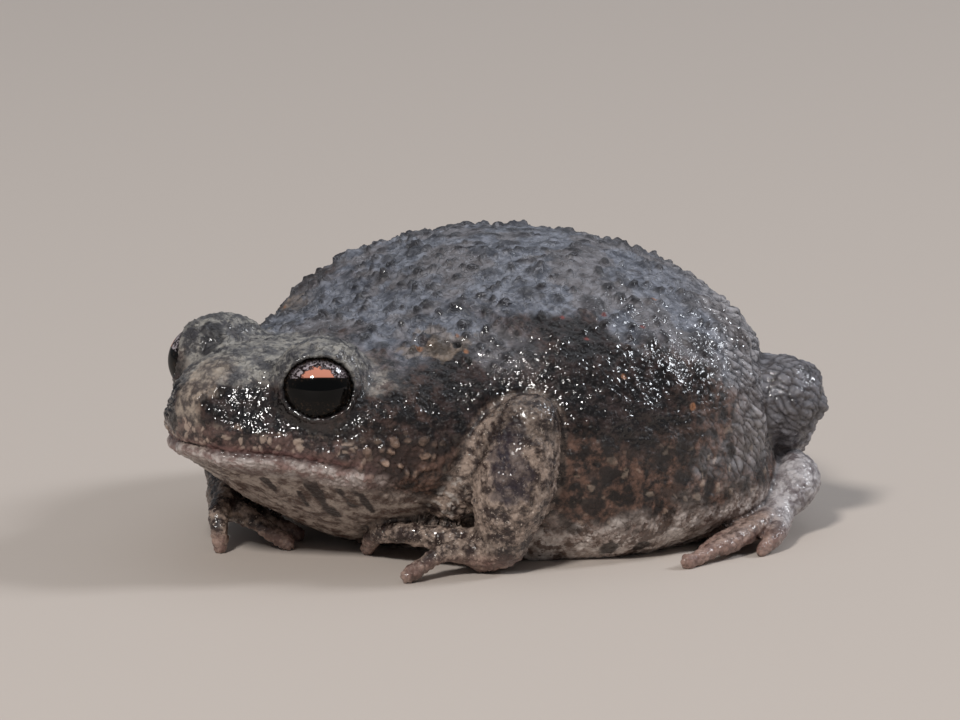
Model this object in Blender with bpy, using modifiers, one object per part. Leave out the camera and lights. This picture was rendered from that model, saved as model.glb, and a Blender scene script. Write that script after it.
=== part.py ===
"""Western brood frog at rest, life size: a plump warty toadlet, about 25.5 mm from snout to vent.

The body is a family of soft forms (eggs and tapered tubes) that melt into one another. They are
joined by a voxel remesh, the mesh is slid onto the surface where the forms blend, and the whole
animal is then parted by thin cuts into head, torso, eyes and the segments of each limb.

Lengths are in millimetres until place() turns them into metres. X is the frog's left, -Y is the
way it faces, Z is up, and the floor it rests on is z = 0.
"""

import math

import bmesh
import bpy
import numpy as np
from mathutils import Matrix, Vector
from mathutils.bvhtree import BVHTree

MM = 0.001
LEFT = 1
RIGHT = -1

# Driving sizes of the body
TRUNK_LENGTH = 17.2
TRUNK_WIDTH = 20.6
BACK_HEIGHT = 10.8
TRUNK_MIDDLE = 4.3
SNOUT_Y = -15.68
CROWN_HEIGHT = 7.95
JAW_WIDTH = 9.4
EYE_DIAMETER = 2.8
EYE_PLACE = (3.18, -12.12, 6.84)
EYE_YAW = 55.0
EYE_PITCH = -13.0
LID_RADIUS = 1.75
LID_OPENING = (1.28, 1.3, 1.12)
MOUTH_HEIGHT = 4.55
NOSTRIL = (1.2, -15.05, 6.6)
WART_COUNT = 130
WART_RADII = (0.42, 0.8)
WART_RISE = 0.27
WART_TRIES = 2500
WART_HEART = (0.0, -1.0, 3.2)
WART_FOREMOST = -9.6
WART_ROOM = 0.12
WART_SEED = 7

# How the animal is parted
GAP = 0.3
SOCKET_GAP = 0.2
LIMB_MARGIN = 0.12
NECK_PLACE = (0.0, -8.4, 5.0)
NECK_SLANT = 12.0
HEAD_MIDDLE = (0.0, -11.5, 5.0)
TRUNK_CENTRE = (0.0, 0.0, 5.0)
BLADE_SIZE = 16.0
BLADE_OVERHANG = 3.0

# Fineness of the faceted solids
VOXEL = 0.15
BODY_TRIANGLES = 36000
CUTTER_TRIANGLES = 2400
NODE_TRIANGLES = {
    "torso": 5800,
    "head": 4200,
    "hand": 860,
    "foot": 860,
    "upper_arm": 340,
    "forearm": 440,
    "thigh": 340,
    "shank": 440,
}
THIN_TRIALS = 8
SLIDE_STEPS = 4
PROBE = 0.01
LONGEST_STEP = 0.4


def turn(yaw=0.0, pitch=0.0, roll=0.0):
    """Rotation by roll about Y, then pitch about X, then yaw about Z, in degrees."""
    about_z = Matrix.Rotation(math.radians(yaw), 3, "Z")
    about_x = Matrix.Rotation(math.radians(pitch), 3, "X")
    about_y = Matrix.Rotation(math.radians(roll), 3, "Y")
    return about_z @ about_x @ about_y


def soft_min(a, b, soft):
    overlap = np.maximum(soft - np.abs(a - b), 0.0) / soft
    return np.minimum(a, b) - overlap * overlap * soft * 0.25


class Egg:
    """Ellipsoid, squarer than an egg where plan or profile is over 2."""

    def __init__(self, centre, radii, yaw=0.0, pitch=0.0, roll=0.0, plan=2.0, profile=2.0):
        self.centre = np.array(centre, float)
        self.radii = np.array(radii, float)
        self.rotation = turn(yaw, pitch, roll)
        self.plan = plan
        self.profile = profile
        self.reach = max(radii) * 1.25

    def distance(self, points):
        local = np.abs((points - self.centre) @ np.array(self.rotation)) / self.radii + 1e-6
        flat = local[:, 0] ** self.plan + local[:, 1] ** self.plan
        size = flat ** (self.profile / self.plan) + local[:, 2] ** self.profile
        level = size ** (1.0 / self.profile)
        outer = level ** (1.0 - self.profile)
        inner = flat ** (self.profile / self.plan - 1.0)
        across = outer * inner * local[:, 0] ** (self.plan - 1.0) / self.radii[0]
        along = outer * inner * local[:, 1] ** (self.plan - 1.0) / self.radii[1]
        upward = outer * local[:, 2] ** (self.profile - 1.0) / self.radii[2]
        slope = np.sqrt(across ** 2 + along ** 2 + upward ** 2)
        return (level - 1.0) / np.maximum(slope, 1e-6)

    def solids(self, extra):
        shape = bmesh.new()
        bmesh.ops.create_uvsphere(shape, u_segments=32, v_segments=20, radius=1.0)
        stretch = Matrix.Diagonal([r + extra for r in self.radii]).to_4x4()
        placed = Matrix.Translation(self.centre) @ self.rotation.to_4x4() @ stretch
        bmesh.ops.transform(shape, matrix=placed, verts=shape.verts)
        return [shape]


class Tube:
    """Round limb that follows a smooth path and tapers from one radius to the next."""

    def __init__(self, path, radii, steps=5):
        knots = np.column_stack([np.array(path, float), np.array(radii, float)])
        first = 2 * knots[0] - knots[1]
        last = 2 * knots[-1] - knots[-2]
        knots = np.vstack([first, knots, last])
        rows = []
        for a, b, c, d in zip(knots, knots[1:], knots[2:], knots[3:]):
            for t in np.linspace(0.0, 1.0, steps, endpoint=False):
                bend = (3 * b - a - 3 * c + d) * t ** 3 + (2 * a - 5 * b + 4 * c - d) * t * t
                rows.append(b + 0.5 * ((c - a) * t + bend))
        rows.append(knots[-2])
        rows = np.array(rows)
        self.path = rows[:, :3]
        self.radius = rows[:, 3]
        self.centre = (self.path.max(0) + self.path.min(0)) / 2
        spread = np.linalg.norm(self.path - self.centre, axis=1)
        self.reach = (spread + self.radius).max()

    def distance(self, points):
        nearest = None
        for a, b, thick, thin in zip(self.path, self.path[1:], self.radius, self.radius[1:]):
            bone = b - a
            along = np.clip((points - a) @ bone / (bone @ bone), 0.0, 1.0)
            away = np.linalg.norm(points - a - along[:, None] * bone, axis=1)
            away = away - (thick + (thin - thick) * along)
            nearest = away if nearest is None else soft_min(nearest, away, 0.08)
        return nearest

    def solids(self, extra):
        shapes = []
        step = 0.3
        for a, b, thick, thin in zip(self.path, self.path[1:], self.radius, self.radius[1:]):
            count = max(1, math.ceil(np.linalg.norm(b - a) / (step * (thin + extra))))
            for t in np.arange(count) / count:
                shapes.append(ball(a + (b - a) * t, thick + (thin - thick) * t + extra))
        shapes.append(ball(self.path[-1], self.radius[-1] + extra))
        return shapes


def ball(centre, radius):
    shape = bmesh.new()
    bmesh.ops.create_icosphere(shape, subdivisions=2, radius=radius,
                               matrix=Matrix.Translation(centre))
    return shape


def blended(points, forms):
    """Signed distance to the forms melted together, each with its own softness."""
    value = None
    for form, soft in forms:
        if value is None:
            value = form.distance(points)
            continue
        near = np.linalg.norm(points - form.centre, axis=1) < form.reach + soft + 1.5
        if near.any():
            value[near] = soft_min(value[near], form.distance(points[near]), soft)
    return value


def mirrored(places):
    return [(-x, y, z) for x, y, z in places]


# The forms of each region, in the order in which they melt together

def trunk_forms():
    barrel = Egg((0, -0.4, TRUNK_MIDDLE),
                 (TRUNK_WIDTH / 2, TRUNK_LENGTH / 2, BACK_HEIGHT - TRUNK_MIDDLE),
                 plan=2.3, profile=2.15)
    rump = Egg((0, 5.4, 3.6), (6.0, 4.4, 3.8))
    neck = Egg((0, -7.6, 4.8), (6.4, 3.0, 3.4))
    belly = Egg((0, 0.9, 2.0), (10.1, 7.2, 2.4), plan=2.4, profile=2.6)
    return [(barrel, 1.0), (rump, 2.0), (neck, 2.0), (belly, 1.0)]


def head_forms():
    crown = Egg((0, -11.0, 6.1), (3.3, 3.9, CROWN_HEIGHT - 6.1), pitch=-4, profile=2.3)
    snout = Egg((0, -13.2, 5.7), (2.3, -SNOUT_Y - 13.2, 1.35), pitch=-6, profile=2.2)
    upper_jaw = Egg((0, -9.6, 5.0), (JAW_WIDTH / 2, -SNOUT_Y - 9.75, 1.1), pitch=-3, profile=2.2)
    lower_jaw = Egg((0, -9.75, 4.1), (JAW_WIDTH / 2 - 0.15, 5.75, 0.95), pitch=-4)
    throat = Egg((0, -10.4, 3.4), (4.1, 4.6, 2.0), pitch=-28)
    forms = [(crown, 1.0), (snout, 1.0), (upper_jaw, 0.7), (lower_jaw, 0.35), (throat, 1.0)]
    for side in (LEFT, RIGHT):
        cheek = Egg((side * 3.8, -9.4, 4.9), (2.2, 2.9, 2.2))
        forms.append((cheek, 1.2))
        socket = eye_centre(side) - eye_look(side) * 0.1
        forms.append((Egg(socket, (LID_RADIUS, LID_RADIUS, LID_RADIUS)), 0.5))
        brow = Egg((side * 2.95, -11.6, 7.35), (1.4, 1.65, 1.25), yaw=side * 12)
        forms.append((brow, 0.45))
    return forms


def eye_centre(side):
    return Vector((side * EYE_PLACE[0], EYE_PLACE[1], EYE_PLACE[2]))


def eye_look(side):
    """The way an eye looks: out, forward and a little up."""
    return turn(side * EYE_YAW, EYE_PITCH) @ Vector((0, -1, 0))


ARM = {
    LEFT: {
        "shoulder": (5.2, -7.2, 3.0),
        "elbow": (8.3, -6.5, 5.5),
        "wrist": (7.6, -7.1, 1.3),
        "palm": (7.1, -7.5, 0.85),
        "fingers": [
            [(7.0, -7.8, 0.8), (6.8, -9.3, 0.9), (6.65, -10.75, 0.25)],
            [(6.6, -7.3, 1.2), (3.2, -8.8, 1.2), (1.85, -8.6, 0.26)],
            [(6.3, -6.9, 0.9), (3.6, -7.2, 0.8), (0.4, -7.9, 0.25)],
            [(6.5, -6.8, 0.8), (5.6, -6.5, 0.65), (4.7, -6.3, 0.25)],
        ],
    },
    RIGHT: {
        "shoulder": (-5.2, -7.2, 3.0),
        "elbow": (-7.9, -7.0, 4.6),
        "wrist": (-4.7, -9.9, 1.9),
        "palm": (-3.4, -11.1, 1.5),
        "fingers": [
            [(-3.0, -11.6, 1.5), (-2.0, -12.7, 1.25), (-1.75, -12.8, 0.25)],
            [(-2.9, -11.4, 1.4), (-1.8, -11.4, 1.1), (-0.5, -10.6, 0.26)],
            [(-3.2, -10.9, 1.2), (-2.3, -10.2, 0.8), (-1.5, -9.4, 0.25)],
            [(-3.7, -10.6, 1.2), (-3.4, -9.7, 0.8), (-3.1, -8.9, 0.25)],
        ],
    },
}
FINGER_RADII = [(0.5, 0.35, 0.27), (0.52, 0.36, 0.28), (0.45, 0.34, 0.26), (0.45, 0.34, 0.26)]

LEG = {
    "hip": (2.6, 6.0, 3.3),
    "knee": (8.3, 5.9, 5.0),
    "heel": (3.0, 9.0, 1.35),
    "ankle": (8.5, 6.3, 1.9),
    "foot": (9.7, 4.5, 1.15),
    "toes": [
        [(9.8, 4.3, 1.0), (10.75, 1.7, 0.7), (11.25, -1.35, 0.25)],
        [(9.9, 4.4, 0.9), (11.0, 3.2, 0.6), (11.5, 2.1, 0.25)],
        [(9.6, 4.2, 0.95), (9.95, 2.3, 0.65), (10.15, 0.4, 0.25)],
        [(9.4, 4.4, 0.9), (9.3, 3.0, 0.6), (9.25, 1.7, 0.25)],
        [(9.2, 4.6, 0.8), (8.8, 3.8, 0.55), (8.5, 3.1, 0.25)],
    ],
}
TOE_RADII = [(0.5, 0.36, 0.26), (0.42, 0.34, 0.26), (0.42, 0.34, 0.26), (0.4, 0.33, 0.26),
             (0.4, 0.33, 0.26)]


def middle_of(a, b):
    return tuple((np.array(a) + np.array(b)) / 2)


def arm_forms(side):
    arm = ARM[side]
    upper = Tube([arm["shoulder"], middle_of(arm["shoulder"], arm["elbow"]), arm["elbow"]],
                 [1.5, 1.35, 1.15])
    lower = Tube([arm["elbow"], middle_of(arm["elbow"], arm["wrist"]), arm["wrist"]],
                 [1.15, 1.5, 0.95])
    palm = Tube([arm["wrist"], arm["palm"]], [0.95, 0.8])
    forms = [(upper, 0.5), (lower, 0.35), (palm, 0.4)]
    for path, radii in zip(arm["fingers"], FINGER_RADII):
        forms.append((Tube(path, radii), 0.25))
    return forms


def leg_forms(side):
    place = {name: spot for name, spot in LEG.items() if name != "toes"}
    toes = LEG["toes"]
    if side == RIGHT:
        place = {name: (-x, y, z) for name, (x, y, z) in place.items()}
        toes = [mirrored(path) for path in toes]
    thigh = Tube([place["hip"], middle_of(place["hip"], place["knee"]), place["knee"]],
                 [2.4, 2.1, 1.55])
    shank = Tube([place["knee"], middle_of(place["knee"], place["heel"]), place["heel"]],
                 [1.5, 1.6, 1.0])
    ankle = Tube([place["heel"], place["ankle"], place["foot"]], [0.75, 0.95, 0.55])
    forms = [(thigh, 0.6), (shank, 0.35), (ankle, 0.35)]
    for path, radii in zip(toes, TOE_RADII):
        forms.append((Tube(path, radii), 0.25))
    return forms


def smooth_body(points):
    """The blended body before any wart, lip or nostril."""
    trunk = blended(points, trunk_forms())
    head = blended(points, head_forms())
    value = soft_min(trunk, head, 1.6)
    for side in (LEFT, RIGHT):
        for form, soft in arm_forms(side) + leg_forms(side):
            near = np.linalg.norm(points - form.centre, axis=1) < form.reach + soft + 1.5
            if near.any():
                value[near] = soft_min(value[near], form.distance(points[near]), soft)
    return value


def whole_field(points):
    value = smooth_body(points) + mouth_relief(points)
    for side in (LEFT, RIGHT):
        nostril = np.array((side * NOSTRIL[0], NOSTRIL[1], NOSTRIL[2]))
        away = np.linalg.norm(points - nostril, axis=1)
        value += 0.24 * np.exp(-(away / 0.19) ** 2) - 0.04 * np.exp(-((away - 0.36) / 0.14) ** 2)
    for centre, radius, height in WARTS:
        away = np.linalg.norm(points - centre, axis=1) / radius
        near = away < 1.0
        value[near] -= height * (1.0 - away[near] ** 2) ** 2
    return value


def mouth_relief(points):
    """A groove where the jaws meet, from corner to corner, with a low lip on both sides of it."""
    x, y, z = points.T
    line = MOUTH_HEIGHT + 0.12 * np.exp(-(x / 1.2) ** 2) - 0.22 * np.maximum(0.0, y + 14.0)
    fade = np.clip((-12.1 - y) / 0.6, 0.0, 1.0)
    groove = 0.1 * np.exp(-((z - line) / 0.19) ** 2)
    upper_lip = 0.05 * np.exp(-((z - line - 0.45) / 0.27) ** 2)
    lower_lip = 0.05 * np.exp(-((z - line + 0.42) / 0.25) ** 2)
    return (groove - upper_lip - lower_lip) * fade


def scattered_warts():
    """Low warts over the back, flanks, nape and cheeks: each a centre, a radius and a height."""
    draw = np.random.default_rng(WART_SEED)
    yaw = draw.uniform(-math.pi, math.pi, WART_TRIES)
    rise = np.arcsin(draw.uniform(0.12, 1.0, WART_TRIES))
    radii = draw.uniform(*WART_RADII, WART_TRIES)
    level = np.cos(rise)
    rays = np.column_stack([level * np.sin(yaw), level * np.cos(yaw), np.sin(rise)])
    near = np.zeros(WART_TRIES)
    far = np.full(WART_TRIES, 14.0)
    for _ in range(20):
        half = (near + far) / 2
        inside = smooth_body(WART_HEART + rays * half[:, None]) < 0
        near = np.where(inside, half, near)
        far = np.where(inside, far, half)
    warts = []
    for centre, radius in zip(WART_HEART + rays * near[:, None], radii):
        if centre[1] < WART_FOREMOST or len(warts) == WART_COUNT:
            continue
        crowd = [np.linalg.norm(centre - other) - radius - size for other, size, _ in warts]
        if not crowd or min(crowd) > WART_ROOM:
            warts.append((centre, radius, radius * WART_RISE))
    for side in (LEFT, RIGHT):
        for row in range(2):
            for count in range(4):
                back = -12.2 + 0.85 * count + 0.4 * row
                low = 4.3 - 0.12 * count - 0.75 * row
                centre = np.array((side * 5.6, back, low))
                for _ in range(3):
                    step = np.array((0.01, 0.0, 0.0))
                    value = smooth_body(centre[None])[0]
                    slope = (smooth_body((centre + step)[None])[0] - value) / 0.01
                    centre[0] -= value / slope
                warts.append((centre, 0.4, 0.14))
    return warts


def eye_opening(side):
    """The hole between the lids, pushed in along the way the eye looks."""
    centre = eye_centre(side) + eye_look(side) * 1.2
    return Egg(centre, LID_OPENING, yaw=side * EYE_YAW, pitch=EYE_PITCH)


def all_forms():
    forms = trunk_forms() + head_forms()
    for side in (LEFT, RIGHT):
        forms += arm_forms(side) + leg_forms(side)
    return forms


# From forms to one closed mesh

def numbers(mesh):
    """The mesh's points as an array."""
    flat = np.empty(len(mesh.vertices) * 3)
    mesh.vertices.foreach_get("co", flat)
    return flat.reshape(-1, 3)


def applied(thing, kind, **values):
    """Adds a modifier, bakes it into the mesh and takes it off again."""
    modifier = thing.modifiers.new(kind.title(), kind)
    for name, value in values.items():
        setattr(modifier, name, value)
    graph = bpy.context.evaluated_depsgraph_get()
    mesh = bpy.data.meshes.new_from_object(thing.evaluated_get(graph))
    thing.modifiers.clear()
    thing.data = mesh
    return thing


def rough_union(name, forms, extra):
    """All the forms' own shapes in one mesh, melted into one shell by a voxel remesh."""
    joined = bmesh.new()
    for form, _ in forms:
        for shape in form.solids(extra):
            piece = bpy.data.meshes.new("piece")
            shape.to_mesh(piece)
            joined.from_mesh(piece)
            shape.free()
            bpy.data.meshes.remove(piece)
    mesh = bpy.data.meshes.new(name)
    joined.to_mesh(mesh)
    joined.free()
    thing = bpy.data.objects.new(name, mesh)
    cutters.objects.link(thing)
    return applied(thing, "REMESH", mode="VOXEL", voxel_size=VOXEL, adaptivity=0.0)


def slide(thing, field):
    """Moves every point along the field's slope to where it is zero, then meshes that anew.

    Points gather in tight creases on the way and their faces cross, and the second voxel
    remesh is what clears them.
    """
    points = numbers(thing.data)
    for _ in range(SLIDE_STEPS):
        value = field(points)
        slope = np.empty_like(points)
        for axis in range(3):
            step = np.zeros(3)
            step[axis] = PROBE
            slope[:, axis] = (field(points + step) - value) / PROBE
        size = np.maximum((slope ** 2).sum(1), 0.05)
        move = slope * (value / size)[:, None]
        reach = np.maximum(np.linalg.norm(move, axis=1), 1e-9)
        move *= np.minimum(1.0, LONGEST_STEP / reach)[:, None]
        points = points - move
    thing.data.vertices.foreach_set("co", points.ravel())
    thing.data.update()
    applied(thing, "REMESH", mode="VOXEL", voxel_size=VOXEL, adaptivity=0.0)


def thin_out(thing, triangles):
    mesh = thing.data
    mesh.calc_loop_triangles()
    ratio = min(1.0, triangles / len(mesh.loop_triangles))
    applied(thing, "TRIANGULATE")
    return applied(thing, "DECIMATE", ratio=ratio)


def crossings(thing):
    """How many pairs of faces of one piece cut through each other."""
    shape = bmesh.new()
    shape.from_mesh(thing.data)
    shape.faces.ensure_lookup_table()
    tree = BVHTree.FromBMesh(shape, epsilon=0.0)
    corners = [{vertex.index for vertex in face.verts} for face in shape.faces]
    pairs = [(a, b) for a, b in tree.overlap(tree) if a < b and not corners[a] & corners[b]]
    shape.free()
    return len(pairs)


def thinned(piece, triangles):
    """The piece with few enough triangles, at the first budget that leaves none crossing."""
    best = None
    for trial in range(THIN_TRIALS):
        copy = keep_only(thin_out(copy_of(piece, "thinned"), triangles - trial * triangles // 25))
        count = crossings(copy)
        if best is None or count < best[0]:
            best = (count, copy)
        if count == 0:
            break
    print(best[0], "crossings left after", trial + 1, "trials")
    return best[1]


def cut(thing, cutter, operation="DIFFERENCE"):
    """One Boolean, applied. The exact solver loses a limb at its thin cuts, so it is MANIFOLD."""
    return applied(thing, "BOOLEAN", object=cutter, operation=operation, solver="MANIFOLD")


def copy_of(thing, name):
    twin = thing.copy()
    twin.name = name
    twin.data = thing.data.copy()
    cutters.objects.link(twin)
    return twin


def solid_of(name, shape):
    mesh = bpy.data.meshes.new(name)
    shape.to_mesh(mesh)
    shape.free()
    thing = bpy.data.objects.new(name, mesh)
    cutters.objects.link(thing)
    return thing


def block(name, centre, size, rotation):
    """A box, such as the floor's space or a thin knife."""
    shape = bmesh.new()
    bmesh.ops.create_cube(shape, size=1.0)
    stretch = Matrix.Diagonal(size).to_4x4()
    placed = Matrix.Translation(centre) @ rotation.to_4x4() @ stretch
    bmesh.ops.transform(shape, matrix=placed, verts=shape.verts)
    return solid_of(name, shape)


def knife(start, bend, end):
    """A thin blade that lies between the two bones that meet at a bend, right to its outside."""
    outward = (bend - start).normalized() + (bend - end).normalized()
    outward.normalize()
    hinge_line = (bend - start).cross(end - bend).normalized()
    across = outward.cross(hinge_line)
    rotation = Matrix((outward, hinge_line, across)).transposed()
    centre = bend - outward * (BLADE_SIZE / 2 - BLADE_OVERHANG)
    return block("knife", centre, (BLADE_SIZE, BLADE_SIZE, GAP), rotation)


def envelope(name, forms, margin):
    """Closed shell at an even margin round a limb, to cut it free of the body."""
    shell = rough_union(name, forms, margin)
    slide(shell, lambda points: blended(points, forms) - margin)
    return thin_out(shell, CUTTER_TRIANGLES)


def islands(thing):
    """The separate closed surfaces of a mesh, each as a list of its faces' vertex loops."""
    work = bmesh.new()
    work.from_mesh(thing.data)
    left = set(work.verts)
    groups = []
    while left:
        start = left.pop()
        group = {start}
        front = [start]
        while front:
            vertex = front.pop()
            for edge in vertex.link_edges:
                other = edge.other_vert(vertex)
                if other in left:
                    left.remove(other)
                    group.add(other)
                    front.append(other)
        groups.append(group)
    return work, groups


def keep_only(thing, place=None):
    """Keeps the largest closed surface, or the large one whose middle is nearest to a place."""
    work, groups = islands(thing)
    largest = max(len(group) for group in groups)
    wanted = [group for group in groups if len(group) > 0.12 * largest]

    def away(group):
        middle = sum((vertex.co for vertex in group), Vector()) / len(group)
        return (middle - Vector(place)).length

    if place is None:
        chosen = max(groups, key=len)
    else:
        chosen = min(wanted, key=away)
    spare = [vertex for vertex in work.verts if vertex not in chosen]
    bmesh.ops.delete(work, geom=spare, context="VERTS")
    work.to_mesh(thing.data)
    work.free()
    return thing


def material(name, colour, roughness):
    made = bpy.data.materials.new(name)
    made.use_nodes = True
    surface = made.node_tree.nodes["Principled BSDF"]
    surface.inputs["Base Color"].default_value = (*colour, 1.0)
    surface.inputs["Roughness"].default_value = roughness
    surface.inputs["Metallic"].default_value = 0.0
    return made


def place(thing, name, origin, shift, finish):
    """Turns a finished piece into metres, with its origin at its own joint or middle."""
    shape = bmesh.new()
    shape.from_mesh(thing.data)
    bmesh.ops.translate(shape, vec=-origin, verts=shape.verts)
    bmesh.ops.scale(shape, vec=(MM, MM, MM), verts=shape.verts)
    mesh = bpy.data.meshes.new(name)
    shape.to_mesh(mesh)
    shape.free()
    mesh.materials.append(finish)
    mesh.shade_smooth()
    made = bpy.data.objects.new(name, mesh)
    made.location = (origin + shift) * MM
    frog.objects.link(made)
    made.parent = stand_point
    return made


def free_from(body, name, forms):
    """Cuts a limb out of the body along an even margin round its forms."""
    limb = copy_of(body, name)
    cut(limb, envelope(name + "_inner", forms, LIMB_MARGIN), "INTERSECT")
    cut(body, envelope(name + "_outer", forms, LIMB_MARGIN + GAP))
    return limb


def part_limb(body, word, names, joints, limb, tip):
    """Frees the hand or foot, then the limb, and splits the limb at its bend."""
    upper_name, lower_name, tip_name = names
    root, bend, end, last = joints
    pieces = {}
    pieces[tip_name + word] = (keep_only(free_from(body, tip_name, tip)), end)
    whole = free_from(body, upper_name, limb)
    cut(whole, knife(root, bend, end))
    upper = keep_only(copy_of(whole, "upper"), middle_of(root, bend))
    lower = keep_only(whole, middle_of(bend, end))
    pieces[upper_name + word] = (upper, root)
    pieces[lower_name + word] = (lower, bend)
    return pieces


def main():
    body = rough_union("body", all_forms(), 0.0)
    slide(body, whole_field)
    thin_out(body, BODY_TRIANGLES)
    cut(body, block("below_floor", (0, 0, -5), (60, 60, 10), Matrix.Identity(3)))
    pieces = {}
    for side, word in ((LEFT, "left"), (RIGHT, "right")):
        arm = [Vector(ARM[side][name]) for name in ("shoulder", "elbow", "wrist", "palm")]
        forms = arm_forms(side)
        names = ("upper_arm_", "forearm_", "hand_")
        pieces.update(part_limb(body, word, names, arm, forms[:2], forms[2:]))
        leg = [Vector(LEG[name]) for name in ("hip", "knee", "heel", "foot")]
        for spot in leg:
            spot.x *= side
        forms = leg_forms(side)
        names = ("thigh_", "shank_", "foot_")
        pieces.update(part_limb(body, word, names, leg, forms[:2], forms[2:]))
    for side, word in ((LEFT, "left"), (RIGHT, "right")):
        centre = eye_centre(side)
        opening = solid_of("opening_" + word, eye_opening(side).solids(0.0)[0])
        cut(body, opening)
        socket = solid_of("socket_" + word, eyeball(centre, EYE_DIAMETER / 2 + SOCKET_GAP))
        cut(body, socket)
        pieces["eye_" + word] = (solid_of("ball_" + word, eyeball(centre, EYE_DIAMETER / 2)), centre)
    neck = Vector(NECK_PLACE)
    cut(body, block("neck_cut", neck, (40, GAP, 40), turn(pitch=NECK_SLANT)))
    pieces["head"] = (keep_only(copy_of(body, "head_piece"), HEAD_MIDDLE), neck)
    pieces["torso"] = (keep_only(copy_of(body, "torso_piece"), TRUNK_CENTRE), (0, 0, 0))
    finishes = {
        "skin": material("toadlet_skin", (0.09, 0.08, 0.075), 0.55),
        "eye": material("dark_eye", (0.01, 0.009, 0.008), 0.08),
    }
    for name, (piece, origin) in pieces.items():
        budget = NODE_TRIANGLES.get(name.removesuffix("_left").removesuffix("_right"))
        if budget:
            pieces[name] = (thinned(piece, budget), origin)
    points = np.vstack([numbers(piece.data) for piece, _ in pieces.values()])
    middle = (points.min(0) + points.max(0)) / 2
    shift = Vector((-middle[0], -middle[1], 0.0))
    for name, (piece, origin) in pieces.items():
        kind = "eye" if name.startswith("eye_") else "skin"
        place(piece, name, Vector(origin), shift, finishes[kind])
    for thing in list(cutters.objects):
        bpy.data.objects.remove(thing)


def eyeball(centre, radius):
    shape = bmesh.new()
    bmesh.ops.create_uvsphere(shape, u_segments=24, v_segments=14, radius=radius,
                              matrix=Matrix.Translation(centre))
    return shape


for leftover in list(bpy.data.objects):
    bpy.data.objects.remove(leftover)
cutters = bpy.data.collections.new("cutters")
frog = bpy.data.collections.new("western_brood_frog")
for group in (cutters, frog):
    bpy.context.scene.collection.children.link(group)
WARTS = scattered_warts()
stand_point = bpy.data.objects.new("stand_point", None)
frog.objects.link(stand_point)
main()
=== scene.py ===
# %% [markdown]
# # A western brood frog, life size
# This lesson dresses a small, plump, warty toadlet that rests on the floor of a studio. The solids of its
# head, trunk, limbs and eyes come packed, and they fix every place and size. They could be painted as they
# are, but their cuts would show. So one fine skin is sculpted over the same soft forms, and each eye is a
# ball of its own that looks out between the lids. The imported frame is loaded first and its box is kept.

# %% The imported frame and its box
import math

import bmesh
import bpy
import numpy as np
from mathutils import Matrix, Vector
from mathutils.kdtree import KDTree


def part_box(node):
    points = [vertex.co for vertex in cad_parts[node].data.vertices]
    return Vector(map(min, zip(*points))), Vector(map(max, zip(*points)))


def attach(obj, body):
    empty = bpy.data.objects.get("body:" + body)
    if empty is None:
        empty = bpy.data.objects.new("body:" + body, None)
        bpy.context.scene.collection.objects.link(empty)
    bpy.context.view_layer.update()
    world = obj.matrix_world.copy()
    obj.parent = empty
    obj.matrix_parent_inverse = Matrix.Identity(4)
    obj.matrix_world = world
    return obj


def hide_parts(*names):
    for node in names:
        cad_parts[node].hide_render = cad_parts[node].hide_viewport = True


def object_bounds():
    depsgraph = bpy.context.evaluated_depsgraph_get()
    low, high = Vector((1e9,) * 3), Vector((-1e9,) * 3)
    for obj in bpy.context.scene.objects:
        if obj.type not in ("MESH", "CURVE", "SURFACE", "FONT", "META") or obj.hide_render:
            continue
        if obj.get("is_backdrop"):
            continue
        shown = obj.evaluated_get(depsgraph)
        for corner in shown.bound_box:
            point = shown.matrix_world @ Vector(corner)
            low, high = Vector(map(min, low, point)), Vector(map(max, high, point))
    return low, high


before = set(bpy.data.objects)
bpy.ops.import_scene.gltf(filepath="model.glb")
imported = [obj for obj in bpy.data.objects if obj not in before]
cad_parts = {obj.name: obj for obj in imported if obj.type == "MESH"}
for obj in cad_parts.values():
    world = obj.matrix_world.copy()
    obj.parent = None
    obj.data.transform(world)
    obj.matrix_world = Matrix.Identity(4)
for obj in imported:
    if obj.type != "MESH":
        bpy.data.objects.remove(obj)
cad_low, cad_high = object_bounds()
MM = 0.001
LEFT, RIGHT = 1, -1
print("the solids fill", [round(side / MM, 2) for side in cad_high - cad_low], "mm")

# %% [markdown]
# The sculpting is easiest in millimetres, with the frog's own middle at zero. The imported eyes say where
# that middle lies in the frame, because an eye's box has its middle at the eye's centre.

# %% Sizes that the sculpture is made from
TRUNK_LENGTH = 17.2
TRUNK_WIDTH = 20.6
BACK_HEIGHT = 10.8
TRUNK_MIDDLE = 4.3
SNOUT_Y = -15.68
CROWN_HEIGHT = 7.95
JAW_WIDTH = 9.4
EYE_PLACE = (3.18, -12.12, 6.84)
EYE_YAW = 55.0
EYE_PITCH = -13.0
LID_RADIUS = 1.64
LID_OPENING = (1.31, 1.3, 1.09)
MOUTH_HEIGHT = 4.55
NOSTRIL = (1.2, -15.0, 6.6)
low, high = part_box("eye_left")
EYE_RADIUS = (high.x - low.x) / 2 / MM
FRAME_SHIFT = (low + high) / 2 - Vector(EYE_PLACE) * MM
print("eyeball radius", round(EYE_RADIUS, 2), "mm; the frog's middle lies", FRAME_SHIFT / MM, "mm off")

# %% [markdown]
# ## The camera
# A long lens close to the ground flattens a small animal only a little. The camera could be placed by eye,
# but here it was solved from the frog's outline: 50 degrees round from the front, 12 degrees up and 26 cm
# away. It stands where that solution put it and then turns to the middle of the picture, a little above and
# beside the frog's middle, so the frame needs no lens shift.

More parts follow.
